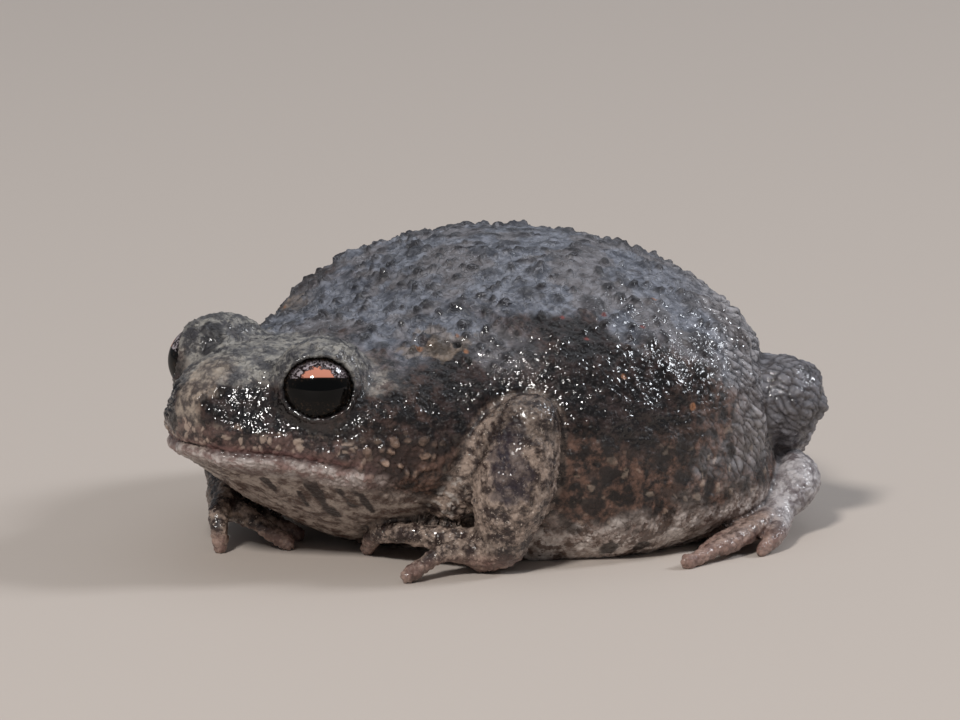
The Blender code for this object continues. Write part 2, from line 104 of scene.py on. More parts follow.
# %% Camera
CAMERA_ROUND = 50.0
CAMERA_UP = 12.0
CAMERA_AWAY = 260.0
PIXELS_PER_MM = 26.5
FRAME_WIDTH = 960
SENSOR = 36.0
AIM_RIGHT = -1.43
AIM_UP = 5.81
yaw, rise = math.radians(CAMERA_ROUND), math.radians(CAMERA_UP)
back = Vector((math.sin(yaw) * math.cos(rise), -math.cos(yaw) * math.cos(rise), math.sin(rise)))
right = Vector((math.cos(yaw), math.sin(yaw), 0.0))
upward = back.cross(right)
aim = FRAME_SHIFT + (right * AIM_RIGHT + upward * AIM_UP) * MM
lens = bpy.data.cameras.new("long_lens")
lens.sensor_width = SENSOR
lens.lens = PIXELS_PER_MM * CAMERA_AWAY * SENSOR / FRAME_WIDTH
lens.clip_start = 0.01
lens.clip_end = 10.0
camera = bpy.data.objects.new("camera", lens)
bpy.context.scene.collection.objects.link(camera)
camera.location = FRAME_SHIFT + back * CAMERA_AWAY * MM
camera.rotation_euler = (camera.location - aim).to_track_quat("Z", "Y").to_euler()
bpy.context.scene.camera = camera
print("lens", round(lens.lens, 1), "mm, camera", round(camera.location.z / MM, 1), "mm above the floor")

# %% [markdown]
# ## Floor and light
# A wet skin is read from its highlights. One wide lamp could light the whole animal evenly, but its sparks
# would melt together. So one lamp is small, over the camera's left shoulder, and draws bright points on the
# film of water. A second small lamp behind the frog does the same along its rear flank. A wide lamp
# overhead and a pale grey-blue surrounding fill the rest, as an open sky would. The colours are shown
# plainly, without a film look.

# %% Studio light
# Each row holds a name, degrees round and up, metres away and across, watts and a colour.
LAMPS = [
    ("key_lamp", 30, 41, 0.6, 0.085, 2.8, (1.0, 0.98, 0.95)),
    ("sky_panel", 200, 70, 0.7, 0.7, 0.75, (0.9, 0.94, 1.0)),
    ("rim_panel", 150, 38, 0.6, 0.12, 1.7, (0.9, 0.94, 1.0)),
]
ROOM_COLOUR = (0.80, 0.85, 0.92, 1.0)
ROOM_STRENGTH = 0.22


def linear(red, green, blue):
    """A colour as seen on a screen, 0 to 255, turned into the light that a shader counts in."""
    seen = np.array((red, green, blue)) / 255.0
    light = np.where(seen < 0.04045, seen / 12.92, ((seen + 0.055) / 1.055) ** 2.4)
    return (*(float(part) for part in light), 1.0)


def lamp(name, round_, up, away, size, watts, colour):
    """A square area lamp that faces the frog from one side."""
    kind = bpy.data.lights.new(name, "AREA")
    kind.size = size
    kind.energy = watts
    kind.color = colour
    made = bpy.data.objects.new(name, kind)
    bpy.context.scene.collection.objects.link(made)
    a, e = math.radians(round_), math.radians(up)
    out = Vector((math.sin(a) * math.cos(e), -math.cos(a) * math.cos(e), math.sin(e)))
    made.location = out * away
    made.rotation_euler = out.to_track_quat("Z", "Y").to_euler()


for row in LAMPS:
    lamp(*row)
world = bpy.data.worlds.new("pale_room")
bpy.context.scene.world = world
world.use_nodes = True
world.node_tree.nodes["Background"].inputs["Color"].default_value = ROOM_COLOUR
world.node_tree.nodes["Background"].inputs["Strength"].default_value = ROOM_STRENGTH
bpy.context.scene.view_settings.view_transform = "Standard"
print(len(LAMPS), "lamps and a pale room")

# %% Floor
FLOOR_REACH = 0.6
FLOOR_ROUGHNESS = 0.75
floor_mesh = bpy.data.meshes.new("studio_floor")
corners = [(FLOOR_REACH * a, FLOOR_REACH * b, 0) for a, b in ((-1, -1), (1, -1), (1, 1), (-1, 1))]
floor_mesh.from_pydata(corners, [], [(0, 1, 2, 3)])
floor = bpy.data.objects.new("studio_floor", floor_mesh)
bpy.context.scene.collection.objects.link(floor)
floor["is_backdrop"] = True
floor_paint = bpy.data.materials.new("pale_floor")
floor_paint.use_nodes = True
floor_surface = floor_paint.node_tree.nodes["Principled BSDF"]
floor_surface.inputs["Base Color"].default_value = linear(188, 177, 168)
floor_surface.inputs["Roughness"].default_value = FLOOR_ROUGHNESS
floor_mesh.materials.append(floor_paint)
print("floor", 2 * FLOOR_REACH, "m wide")

# %% [markdown]
# ## The forms under the skin
# A toadlet is round everywhere: a barrel of a body, a short wedge of a head, limbs like soft tubes. Such
# forms could be pulled out of one box by hand, but here each is an egg or a tapered tube with a known
# distance from any point. The distances melt into one another with a soft minimum, which fills every crease
# as flesh does.

# %% Eggs, tubes and how they melt together
def soft_min(a, b, soft):
    overlap = np.maximum(soft - np.abs(a - b), 0.0) / soft
    return np.minimum(a, b) - overlap * overlap * soft * 0.25


def turn(yaw=0.0, pitch=0.0):
    """Rotation by pitch about X, then yaw about Z, in degrees."""
    return Matrix.Rotation(math.radians(yaw), 3, "Z") @ Matrix.Rotation(math.radians(pitch), 3, "X")


def ball(centre, radius):
    shape = bmesh.new()
    bmesh.ops.create_icosphere(shape, subdivisions=2, radius=radius, matrix=Matrix.Translation(centre))
    return shape


class Egg:
    """Ellipsoid, squarer than an egg where plan or profile is over 2."""

    def __init__(self, centre, radii, yaw=0.0, pitch=0.0, plan=2.0, profile=2.0):
        self.centre = np.array(centre, float)
        self.radii = np.array(radii, float)
        self.rotation = turn(yaw, pitch)
        self.plan = plan
        self.profile = profile
        self.reach = max(radii) * 1.25

    def distance(self, points):
        local = np.abs((points - self.centre) @ np.array(self.rotation)) / self.radii + 1e-6
        if self.plan == 2.0 and self.profile == 2.0:
            level = np.linalg.norm(local, axis=1)
            return (level - 1.0) * level / np.linalg.norm(local / self.radii, axis=1)
        flat = local[:, 0] ** self.plan + local[:, 1] ** self.plan
        size = flat ** (self.profile / self.plan) + local[:, 2] ** self.profile
        level = size ** (1.0 / self.profile)
        outer = level ** (1.0 - self.profile)
        inner = flat ** (self.profile / self.plan - 1.0)
        across = outer * inner * local[:, 0] ** (self.plan - 1.0) / self.radii[0]
        along = outer * inner * local[:, 1] ** (self.plan - 1.0) / self.radii[1]
        upward = outer * local[:, 2] ** (self.profile - 1.0) / self.radii[2]
        return (level - 1.0) / np.maximum(np.sqrt(across ** 2 + along ** 2 + upward ** 2), 1e-6)

    def solids(self):
        shape = bmesh.new()
        bmesh.ops.create_uvsphere(shape, u_segments=48, v_segments=32, radius=1.0)
        placed = Matrix.Translation(self.centre) @ self.rotation.to_4x4()
        placed = placed @ Matrix.Diagonal(self.radii).to_4x4()
        bmesh.ops.transform(shape, matrix=placed, verts=shape.verts)
        return [shape]


class Tube:
    """Round limb that follows a smooth path and tapers from one radius to the next."""

    def __init__(self, path, radii, steps=5):
        knots = np.column_stack([np.array(path, float), np.array(radii, float)])
        knots = np.vstack([2 * knots[0] - knots[1], knots, 2 * knots[-1] - knots[-2]])
        rows = []
        for a, b, c, d in zip(knots, knots[1:], knots[2:], knots[3:]):
            for t in np.linspace(0.0, 1.0, steps, endpoint=False):
                bend = (3 * b - a - 3 * c + d) * t ** 3 + (2 * a - 5 * b + 4 * c - d) * t * t
                rows.append(b + 0.5 * ((c - a) * t + bend))
        rows.append(knots[-2])
        rows = np.array(rows)
        self.path = rows[:, :3]
        self.radius = rows[:, 3]
        self.centre = (self.path.max(0) + self.path.min(0)) / 2
        self.reach = (np.linalg.norm(self.path - self.centre, axis=1) + self.radius).max()

    def distance(self, points):
        nearest = None
        for a, b, thick, thin in zip(self.path, self.path[1:], self.radius, self.radius[1:]):
            bone = b - a
            along = np.clip((points - a) @ bone / (bone @ bone), 0.0, 1.0)
            away = np.linalg.norm(points - a - along[:, None] * bone, axis=1)
            away = away - (thick + (thin - thick) * along)
            nearest = away if nearest is None else soft_min(nearest, away, 0.08)
        return nearest

    def solids(self):
        shapes = []
        for a, b, thick, thin in zip(self.path, self.path[1:], self.radius, self.radius[1:]):
            count = max(1, math.ceil(np.linalg.norm(b - a) / (0.3 * thin)))
            for t in np.arange(count) / count:
                shapes.append(ball(a + (b - a) * t, thick + (thin - thick) * t))
        shapes.append(ball(self.path[-1], self.radius[-1]))
        return shapes


print("two kinds of form: eggs and tubes")

# %% [markdown]
# The trunk is one wide barrel with a rump and a neck. The head is a wedge of crown, snout, two jaws and a
# throat, and on each side a cheek, a round mound for the eyeball and a brow above it. Each form comes with
# the softness of its blend: wide where flesh is thick, tight at the lips and lids.

# %% Trunk and head
def eye_centre(side):
    return Vector((side * EYE_PLACE[0], EYE_PLACE[1], EYE_PLACE[2]))


def eye_look(side):
    """The way an eye looks: out, forward and a little up."""
    return turn(side * EYE_YAW, EYE_PITCH) @ Vector((0, -1, 0))


def trunk_forms():
    barrel = Egg((0, -0.4, TRUNK_MIDDLE), (TRUNK_WIDTH / 2, TRUNK_LENGTH / 2, BACK_HEIGHT - TRUNK_MIDDLE),
                 plan=2.3, profile=2.15)
    rump = Egg((0, 5.4, 3.6), (6.0, 4.4, 3.8))
    neck = Egg((0, -7.6, 4.9), (6.4, 3.0, 3.2))
    belly = Egg((0, 0.9, 2.0), (10.1, 7.2, 2.4), plan=2.4, profile=2.6)
    return [(barrel, 1.0), (rump, 2.0), (neck, 2.0), (belly, 1.0)]


def head_forms():
    crown = Egg((0, -11.0, 6.1), (3.3, 3.9, CROWN_HEIGHT - 6.1), pitch=-4, profile=2.3)
    snout = Egg((0, -13.2, 5.7), (2.3, -SNOUT_Y - 13.2, 1.35), pitch=-6, profile=2.2)
    upper_jaw = Egg((0, -9.6, 5.0), (JAW_WIDTH / 2, -SNOUT_Y - 9.75, 1.1), pitch=-3, profile=2.2)
    lower_jaw = Egg((0, -9.75, 4.1), (JAW_WIDTH / 2 - 0.15, 5.75, 0.95), pitch=-4)
    throat = Egg((0, -10.4, 3.4), (4.1, 4.6, 2.0), pitch=-28)
    forms = [(crown, 1.0), (snout, 1.0), (upper_jaw, 0.7), (lower_jaw, 0.35), (throat, 1.0)]
    for side in (LEFT, RIGHT):
        forms.append((Egg((side * 3.8, -9.4, 4.9), (2.2, 2.9, 2.2)), 1.2))
        socket = eye_centre(side) - eye_look(side) * 0.1
        forms.append((Egg(socket, (LID_RADIUS, LID_RADIUS, LID_RADIUS)), 0.5))
        forms.append((Egg((side * 2.95, -11.6, 7.35), (1.4, 1.65, 1.25), yaw=side * 12), 0.45))
    return forms


def eye_opening(side):
    """The hole between the lids, pushed in along the way the eye looks."""
    centre = eye_centre(side) + eye_look(side) * 1.2 - Vector((0, 0, 0.06))
    return Egg(centre, LID_OPENING, yaw=side * EYE_YAW, pitch=EYE_PITCH)


print(len(trunk_forms()), "forms for the trunk and", len(head_forms()), "for the head")

# %% [markdown]
# The near hand is set down flat under the shoulder and the far one reaches in under the throat, so the arms
# have places of their own. The hind legs are folded alike on both sides: the knee stands out behind the
# flank, the shank runs back in and the ankle comes out again to a foot that points forward.

# %% Arms and legs
ARM = {
    LEFT: {
        "shoulder": (5.2, -7.2, 3.0), "elbow": (8.3, -6.5, 5.5), "wrist": (7.6, -7.1, 1.3),
        "palm": (7.1, -7.5, 0.85),
        "fingers": [
            [(7.0, -7.8, 0.8), (6.8, -9.3, 0.9), (6.65, -10.75, 0.25)],
            [(6.7, -7.6, 1.1), (3.5, -9.2, 1.12), (2.0, -8.85, 0.26)],
            [(6.3, -6.9, 0.9), (3.6, -7.2, 0.8), (0.4, -7.9, 0.25)],
            [(6.5, -6.8, 0.8), (5.6, -6.5, 0.65), (4.7, -6.3, 0.25)],
        ],
    },
    RIGHT: {
        "shoulder": (-5.2, -7.2, 3.0), "elbow": (-7.9, -7.0, 4.6), "wrist": (-4.7, -9.9, 1.9),
        "palm": (-3.4, -11.1, 1.5),
        "fingers": [
            [(-3.0, -11.6, 1.5), (-2.0, -12.7, 1.25), (-1.75, -12.8, 0.25)],
            [(-2.9, -11.4, 1.4), (-1.8, -11.4, 1.1), (-0.5, -10.6, 0.26)],
            [(-3.2, -10.9, 1.2), (-2.3, -10.2, 0.8), (-1.5, -9.4, 0.25)],
            [(-3.7, -10.6, 1.2), (-3.4, -9.7, 0.8), (-3.1, -8.9, 0.25)],
        ],
    },
}
FINGER_RADII = [(0.5, 0.35, 0.27), (0.52, 0.36, 0.28), (0.45, 0.34, 0.26), (0.45, 0.34, 0.26)]
LEG = {
    "hip": (2.6, 6.0, 3.3), "knee": (8.3, 5.9, 5.0), "heel": (3.0, 9.0, 1.35),
    "ankle": (8.5, 6.3, 1.9), "foot": (9.7, 4.5, 1.15),
    "toes": [
        [(9.8, 4.3, 1.0), (10.75, 1.7, 0.7), (11.25, -1.35, 0.25)],
        [(9.9, 4.4, 0.9), (11.0, 3.2, 0.6), (11.5, 2.1, 0.25)],
        [(9.6, 4.2, 0.95), (9.95, 2.3, 0.65), (10.15, 0.4, 0.25)],
        [(9.4, 4.4, 0.9), (9.3, 3.0, 0.6), (9.25, 1.7, 0.25)],
        [(9.2, 4.6, 0.8), (8.8, 3.8, 0.55), (8.5, 3.1, 0.25)],
    ],
}
TOE_RADII = [(0.5, 0.36, 0.26), (0.42, 0.34, 0.26), (0.42, 0.34, 0.26), (0.4, 0.33, 0.26), (0.4, 0.33, 0.26)]


def middle_of(a, b):
    return tuple((np.array(a) + np.array(b)) / 2)


def arm_forms(side):
    arm = ARM[side]
    upper = Tube([arm["shoulder"], middle_of(arm["shoulder"], arm["elbow"]), arm["elbow"]], [1.5, 1.35, 1.15])
    lower = Tube([arm["elbow"], middle_of(arm["elbow"], arm["wrist"]), arm["wrist"]], [1.15, 1.5, 0.95])
    palm = Tube([arm["wrist"], arm["palm"]], [0.95, 0.8])
    forms = [(upper, 0.3), (lower, 0.2), (palm, 0.3)]
    return forms + [(Tube(path, radii), 0.15) for path, radii in zip(arm["fingers"], FINGER_RADII)]


def leg_forms(side):
    place = {name: (side * spot[0], *spot[1:]) for name, spot in LEG.items() if name != "toes"}
    toes = [[(side * x, y, z) for x, y, z in path] for path in LEG["toes"]]
    thigh = Tube([place["hip"], middle_of(place["hip"], place["knee"]), place["knee"]], [2.4, 2.1, 1.55])
    shank = Tube([place["knee"], middle_of(place["knee"], place["heel"]), place["heel"]], [1.5, 1.6, 1.0])
    ankle = Tube([place["heel"], place["ankle"], place["foot"]], [0.75, 0.95, 0.55])
    forms = [(thigh, 0.4), (shank, 0.25), (ankle, 0.25)]
    return forms + [(Tube(path, radii), 0.15) for path, radii in zip(toes, TOE_RADII)]


TRUNK, HEAD = trunk_forms(), head_forms()
LIMBS = [form for side in (LEFT, RIGHT) for form in arm_forms(side) + leg_forms(side)]
OPENINGS = [eye_opening(side) for side in (LEFT, RIGHT)]
print(len(LIMBS), "tubes for the four limbs, with", 2 * (4 + 5), "fingers and toes")

# %% [markdown]
# Every point of space now has a distance to the frog. The mouth is a groove with a lip on both sides of it,
# the nostrils are pits with a soft rim, and the eye openings are scooped out with a soft edge, so the lids
# get the thickness of real ones.

# %% The distance to the whole frog
HEAD_BLEND = 1.6
LID_SOFTNESS = 0.12


def blended(points, forms, value=None):
    """Distance to the forms melted together, each with its own softness."""
    for form, soft in forms:
        if value is None:
            value = form.distance(points)
            continue
        near = np.linalg.norm(points - form.centre, axis=1) < form.reach + soft + 1.5
        if near.any():
            value[near] = soft_min(value[near], form.distance(points[near]), soft)
    return value


def smooth_body(points):
    value = blended(points, TRUNK)
    fore = points[:, 1] < -3.0
    if fore.any():
        value[fore] = soft_min(value[fore], blended(points[fore], HEAD), HEAD_BLEND)
    return blended(points, LIMBS, value)


def mouth_line(x, y):
    return MOUTH_HEIGHT + 0.12 * np.exp(-(x / 1.2) ** 2) - 0.22 * np.maximum(0.0, y + 14.0)


def skin_distance(points):
    value = smooth_body(points)
    x, y, z = points.T
    gape = z - mouth_line(x, y)
    fade = np.clip((-12.1 - y) / 0.6, 0.0, 1.0)
    groove = 0.11 * np.exp(-(gape / 0.09) ** 2)
    lips = 0.04 * np.exp(-((gape - 0.34) / 0.22) ** 2) + 0.05 * np.exp(-((gape + 0.34) / 0.2) ** 2)
    value += (groove - lips) * fade
    for side in (LEFT, RIGHT):
        away = np.linalg.norm(points - np.array((side * NOSTRIL[0], NOSTRIL[1], NOSTRIL[2])), axis=1)
        value += 0.3 * np.exp(-(away / 0.14) ** 2) - 0.02 * np.exp(-((away - 0.3) / 0.11) ** 2)
    for opening in OPENINGS:
        near = np.linalg.norm(points - opening.centre, axis=1) < opening.reach + 1.0
        outside = opening.distance(points[near])
        rim = 0.02 * np.exp(-((outside - 0.13) / 0.07) ** 2) - 0.012 * np.exp(-((outside - 0.27) / 0.05) ** 2)
        value[near] = -soft_min(-(value[near] - rim), outside, LID_SOFTNESS)
    return value


print("the frog's middle is", round(-float(skin_distance(np.array([[0.0, 0.0, 5.0]]))[0]), 1), "mm deep")

# %% [markdown]
# ## One skin over all the forms
# The forms' own meshes are melted into one shell by a voxel remesh, with the eye openings cut out of it.
# That shell is close but stepped, so each point then slides along the slope of the distance until it is
# zero. Points crowd together in tight creases, and one more remesh spreads them again. A subdivision and a
# last slide then give points about 0.06 mm apart, fine enough to carve granules.

# %% Helpers for the skin's mesh
VOXEL = 0.12
PROBE = 0.01
LONGEST_STEP = 0.4
ROUGH_SLIDES = 4


def applied(thing, kind, **values):
    """Adds a modifier, bakes it into the mesh and takes it off again."""
    modifier = thing.modifiers.new(kind.title(), kind)
    for name, value in values.items():
        setattr(modifier, name, value)
    graph = bpy.context.evaluated_depsgraph_get()
    mesh = bpy.data.meshes.new_from_object(thing.evaluated_get(graph))
    thing.modifiers.clear()
    thing.data = mesh
    return thing


def joined(name, shapes):
    """Many loose shapes as one object."""
    whole = bmesh.new()
    for shape in shapes:
        piece = bpy.data.meshes.new("piece")
        shape.to_mesh(piece)
        shape.free()
        whole.from_mesh(piece)
        bpy.data.meshes.remove(piece)
    mesh = bpy.data.meshes.new(name)
    whole.to_mesh(mesh)
    whole.free()
    thing = bpy.data.objects.new(name, mesh)
    bpy.context.scene.collection.objects.link(thing)
    return thing


def numbers(mesh, kind="co"):
    flat = np.empty(len(mesh.vertices) * 3)
    mesh.vertices.foreach_get(kind, flat)
    return flat.reshape(-1, 3)


def slide(points, field, steps):
    """Moves every point along the field's slope until the field is zero there."""
    for _ in range(steps):
        value = field(points)
        slope = np.empty_like(points)
        for axis in range(3):
            step = np.zeros(3)
            step[axis] = PROBE
            slope[:, axis] = (field(points + step) - value) / PROBE
        move = slope * (value / np.maximum((slope ** 2).sum(1), 0.05))[:, None]
        reach = np.maximum(np.linalg.norm(move, axis=1), 1e-9)
        points = points - move * np.minimum(1.0, LONGEST_STEP / reach)[:, None]
    return points


def keep_largest(thing):
    """Drops any loose scrap, so that the skin is one closed surface."""
    work = bmesh.new()
    work.from_mesh(thing.data)
    left = set(work.verts)
    groups = []
    while left:
        start = left.pop()
        group, front = {start}, [start]
        while front:
            for edge in front.pop().link_edges:
                for vertex in edge.verts:
                    if vertex in left:
                        left.remove(vertex)
                        group.add(vertex)
                        front.append(vertex)
        groups.append(group)
    main = max(groups, key=len)
    bmesh.ops.delete(work, geom=[v for v in work.verts if v not in main], context="VERTS")
    work.to_mesh(thing.data)
    work.free()


def melted(thing):
    """Lays even quads over the whole surface anew."""
    return applied(thing, "REMESH", mode="VOXEL", voxel_size=VOXEL, adaptivity=0.0)


print("voxels of", VOXEL, "mm")

# %% The skin's mesh
skin = joined("skin", [shape for form, _ in TRUNK + HEAD + LIMBS for shape in form.solids()])
melted(skin)
for opening in OPENINGS:
    scoop = joined("scoop", opening.solids())
    applied(skin, "BOOLEAN", object=scoop, operation="DIFFERENCE", solver="MANIFOLD")
    bpy.data.objects.remove(scoop)
melted(skin)
keep_largest(skin)
points = slide(numbers(skin.data), skin_distance, ROUGH_SLIDES)
skin.data.vertices.foreach_set("co", points.ravel())
melted(skin)
applied(skin, "SUBSURF", levels=1, subdivision_type="CATMULL_CLARK")
points = slide(numbers(skin.data), skin_distance, 1)
skin.data.vertices.foreach_set("co", points.ravel())
skin.data.update()
normals = numbers(skin.data, "normal")
print(len(points), "points; the widest is", np.round(points.max(0) - points.min(0), 2), "mm")

# %% [markdown]
# ## Noise that can be counted on
# Warts, granules and blotches are scattered, but the same each time. Blender has noise textures, yet here
# the same numbers must carve the mesh and steer the colours, so two simple kinds are written out: soft
# patches, and cells round scattered seeds, like pebbles packed side by side.

# %% Patches and pebbles
def hashed(cells, seed):
    """A well-mixed whole number for each cell of a grid."""
    grid = cells.astype(np.int64).astype(np.uint32)
    mixed = grid[:, 0] * np.uint32(374761393) + grid[:, 1] * np.uint32(668265263)
    mixed = mixed + grid[:, 2] * np.uint32(2246822519) + np.uint32(seed * 97787)
    mixed = (mixed ^ (mixed >> np.uint32(15))) * np.uint32(2246822519)
    mixed = (mixed ^ (mixed >> np.uint32(13))) * np.uint32(3266489917)
    return mixed ^ (mixed >> np.uint32(16))


def patches(places, size, seed, octaves=1):
    """Soft random patches of a given size, from about -1 to 1."""
    total = np.zeros(len(places))
    for octave in range(octaves):
        spot = places / (size * 0.5 ** octave) + seed * 7.31
        cell = np.floor(spot)
        part = spot - cell
        part = part * part * (3 - 2 * part)
        value = np.zeros(len(places))
        for corner in range(8):
            offset = np.array([(corner >> axis) & 1 for axis in range(3)])
            share = np.prod(np.where(offset, part, 1 - part), axis=1)
            value += share * hashed(cell + offset, seed + octave) / 4294967295.0
        total += (2 * value - 1) * 0.55 ** octave * 1.5
    return total


def pebbles(places, size, seed):
    """Distances to the nearest and second nearest scattered seed, in sizes, and a number of the nearest."""
    spot = places / size
    cell = np.floor(spot)
    first = np.full(len(places), 9.0)
    second = np.full(len(places), 9.0)
    label = np.zeros(len(places))
    for count in range(27):
        offset = np.array([count % 3 - 1, count // 3 % 3 - 1, count // 9 - 1])
        code = hashed(cell + offset, seed)
        away = np.zeros(len(places))
        for axis in range(3):
            drawn = ((code >> np.uint32(10 * axis)) & np.uint32(1023)) / 1023.0
            away += (cell[:, axis] + offset[axis] + 0.1 + 0.8 * drawn - spot[:, axis]) ** 2
        closer = away < first
        second = np.where(closer, first, np.minimum(second, away))
        label = np.where(closer, (code >> np.uint32(7)) & np.uint32(4095), label)
        first = np.where(closer, away, first)
    return np.sqrt(first), np.sqrt(second), label / 4095.0


def step_up(value, low, high):
    """0 below low, 1 above high, and a soft rise between."""
    part = np.clip((value - low) / (high - low), 0.0, 1.0)
    return part * part * (3 - 2 * part)


x, y, z = points.T
side_x = np.abs(x)
print("patches run from", np.round(patches(points[:9000], 1.0, 1).min(), 2))

# %% [markdown]
# ## Where each kind of skin lies
# A toadlet wears several skins at once: dry slate on the back, wet black granules on the shoulders, ridges
# along the rear flank, smooth thick lids, a pale belly edge. Each kind gets a share from 0 to 1 at every
# point, worked out from the point's place, the way it faces, and its distance to the limbs. A painter would
# mask them by hand. Here the edges are broken by the patches, and both sides of the animal are covered at
# once.

# %% Helpers that measure closeness
SIDES = (LEFT, RIGHT)


def away_from(forms):
    """Distance of every point to a few of the forms."""
    return blended(points, forms, np.full(len(points), 9.0))


def close_to(ends, thickness, edge=0.3):
    """Share near a line from one place to another, on both sides, a little further back on the right."""
    start, end = (np.array(place, float) for place in ends)
    places = np.column_stack([side_x, y - 0.35 * (x < 0), z])
    bone = end - start
    along = np.clip((places - start) @ bone / max(bone @ bone, 1e-9), 0.0, 1.0)
    away = np.linalg.norm(places - start - along[:, None] * bone, axis=1) + edge * thickness * fine_wander
    return 1 - step_up(away, 0.7 * thickness, 1.15 * thickness)


print("closeness to", len(TRUNK + HEAD), "forms of trunk and head and", len(LIMBS), "of the limbs")

# %% Patches that break up every edge
wander = patches(points, 2.2, 3, 3)
fine_wander = patches(points, 0.7, 4, 3)
sprinkle = patches(points, 0.2, 5, 2)
print("patches of 2.2, 0.7 and 0.2 mm")

# %% Limbs
on_limb = 1 - step_up(away_from(LIMBS), 0.03, 0.35)
on_hand = 1 - step_up(away_from([form for side in SIDES for form in arm_forms(side)[2:]]), 0.05, 0.4)
on_foot = 1 - step_up(away_from([form for side in SIDES for form in leg_forms(side)[2:]]), 0.05, 0.4)
on_leg = 1 - step_up(away_from([form for side in SIDES for form in leg_forms(side)[:2]]), 0.05, 0.45)
eye_away = np.min([np.linalg.norm(points - np.array(eye_centre(side)), axis=1) for side in SIDES], axis=0)
bare = 1 - on_limb
on_head = step_up(-y + 0.25 * z + 0.3 * wander, 9.6, 11.2) * bare
print("on the limbs:", round(float(on_limb.mean()), 2), "on the head:", round(float(on_head.mean()), 2))

# %% Slate back, rear flank and wet black
SLATE_LEVELS = (6.8, 8.5)
BLACK_HEIGHTS = (3.6, 5.4)
SHOULDER_Y = -4.0
slate_level = z + 1.2 * normals[:, 2] + 0.42 * (y + 1) + 0.7 * wander + 0.35 * fine_wander
slate_level -= 1.8 * np.exp(-((y - SHOULDER_Y) / 2.7) ** 2) * (1 - step_up(z, 8.6, 9.6))
slate = step_up(slate_level, *SLATE_LEVELS) * bare * (1 - on_head)
nape = step_up(z + 0.4 * wander, 7.3, 8.1) * step_up(-y, 4.0, 6.5) * bare
slate = np.maximum(slate, nape)
rear = step_up(y - 0.25 * (z - 6) + 0.8 * wander, 0.0, 3.2) * step_up(z + 0.4 * wander, 2.4, 4.0) * bare
rear *= 1 - 0.75 * step_up(z + 0.5 * wander, 8.2, 9.8)
front = 1 - step_up(y + 0.9 * wander + 0.3 * fine_wander, -2.2, 2.4)
black = step_up(z + 0.5 * wander + 0.3 * fine_wander, *BLACK_HEIGHTS) * front * (1 - slate) * bare
print("slate:", round(float(slate.mean()), 2), "rear:", round(float(rear.mean()), 2))

# %% Crown, lids and snout
CROWN_HEIGHTS = (6.9, 7.6)
LID_HEIGHTS = (6.8, 7.6)
lid = 1 - step_up(eye_away, 1.7, 2.1)
crown = step_up(z + 0.35 * normals[:, 2] + 0.25 * fine_wander, *CROWN_HEIGHTS) * step_up(-y, 9.0, 10.2) * bare
crown = np.maximum(crown, lid * step_up(z + 0.2 * fine_wander, *LID_HEIGHTS))
crown *= 1 - 0.8 * step_up(y, -10.4, -9.4)
snout_wet = step_up(side_x, 0.8, 1.5) * step_up(z + 0.2 * fine_wander, 4.8, 5.3) * step_up(-y, 12.4, 13.1)
snout_wet *= 1 - step_up(z + 0.25 * fine_wander, 6.9, 7.3)
snout_tip = (1 - step_up(side_x + 0.25 * fine_wander, 0.5, 1.0)) * step_up(-y, 13.4, 14.4)
black = np.clip(black * (1 - 0.2 * on_head) + snout_wet, 0, 1) * (1 - crown) * (1 - snout_tip)
print("crown and lids:", round(float(crown.mean()), 2), "black:", round(float(black.mean()), 2))

# %% Belly edge, throat and cheek
PALE_HEIGHTS = (0.8, 2.3)
edge_height = z - 0.35 * wander - 0.35 * fine_wander - 0.12 * np.maximum(y, 0.0)
pale_edge = (1 - step_up(edge_height, *PALE_HEIGHTS)) * bare
gape = z - mouth_line(x, y)
throat = step_up(-gape, 0.5, 0.95) * step_up(-y - 0.25 * z, 6.4, 7.4) * bare
pale = np.clip(pale_edge + throat, 0, 1)
cheek = np.exp(-((y + 10.7) / 1.5) ** 2 - ((z - 4.35) / 0.75) ** 2) * step_up(side_x, 3.6, 4.4) * bare
print("pale:", round(float(pale.mean()), 2))

# %% Creases where forms meet
CREASE_WIDTH = 0.14
PINCH_WIDTH = 0.3


def crease_between(first, second, width):
    """Share along the line where two sets of forms meet."""
    a, b = away_from(first), away_from(second)
    return np.exp(-((a - b) / width) ** 2) * (1 - step_up(np.minimum(a, b), 0.15, 0.5))


# The creases are dug into the relief, and later painted dark as shade.
creases = crease_between(TRUNK + HEAD, LIMBS, CREASE_WIDTH)
pinched = crease_between(TRUNK + HEAD, LIMBS, PINCH_WIDTH)
for side in SIDES:
    for limb in (arm_forms(side), leg_forms(side)):
        creases = np.maximum(creases, crease_between(limb[:1], limb[1:2], 0.12))
        creases = np.maximum(creases, 0.7 * crease_between(limb[1:2], limb[2:], 0.1))
print("points in creases:", int((creases > 0.5).sum()))

# %% [markdown]
# ## Warts
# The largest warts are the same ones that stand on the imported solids, scattered with the same seed. Between
# them come many smaller ones. Each is a low dome, pressed into the mesh along the way the skin faces.

# %% Large and small warts
WART_SEED = 7
WART_COUNT = 130
WART_TRIES = 2500
WART_RADII = (0.42, 0.8)
WART_RISE = 0.27
WART_HEART = (0.0, -1.0, 3.2)
WART_FOREMOST = -9.6
WART_ROOM = 0.12
SMALL_SEED = 11
SMALL_WARTS = 1500
SMALL_RADII = (0.16, 0.34)
SMALL_RISE = 0.24
SMALL_SHADE = 0.75


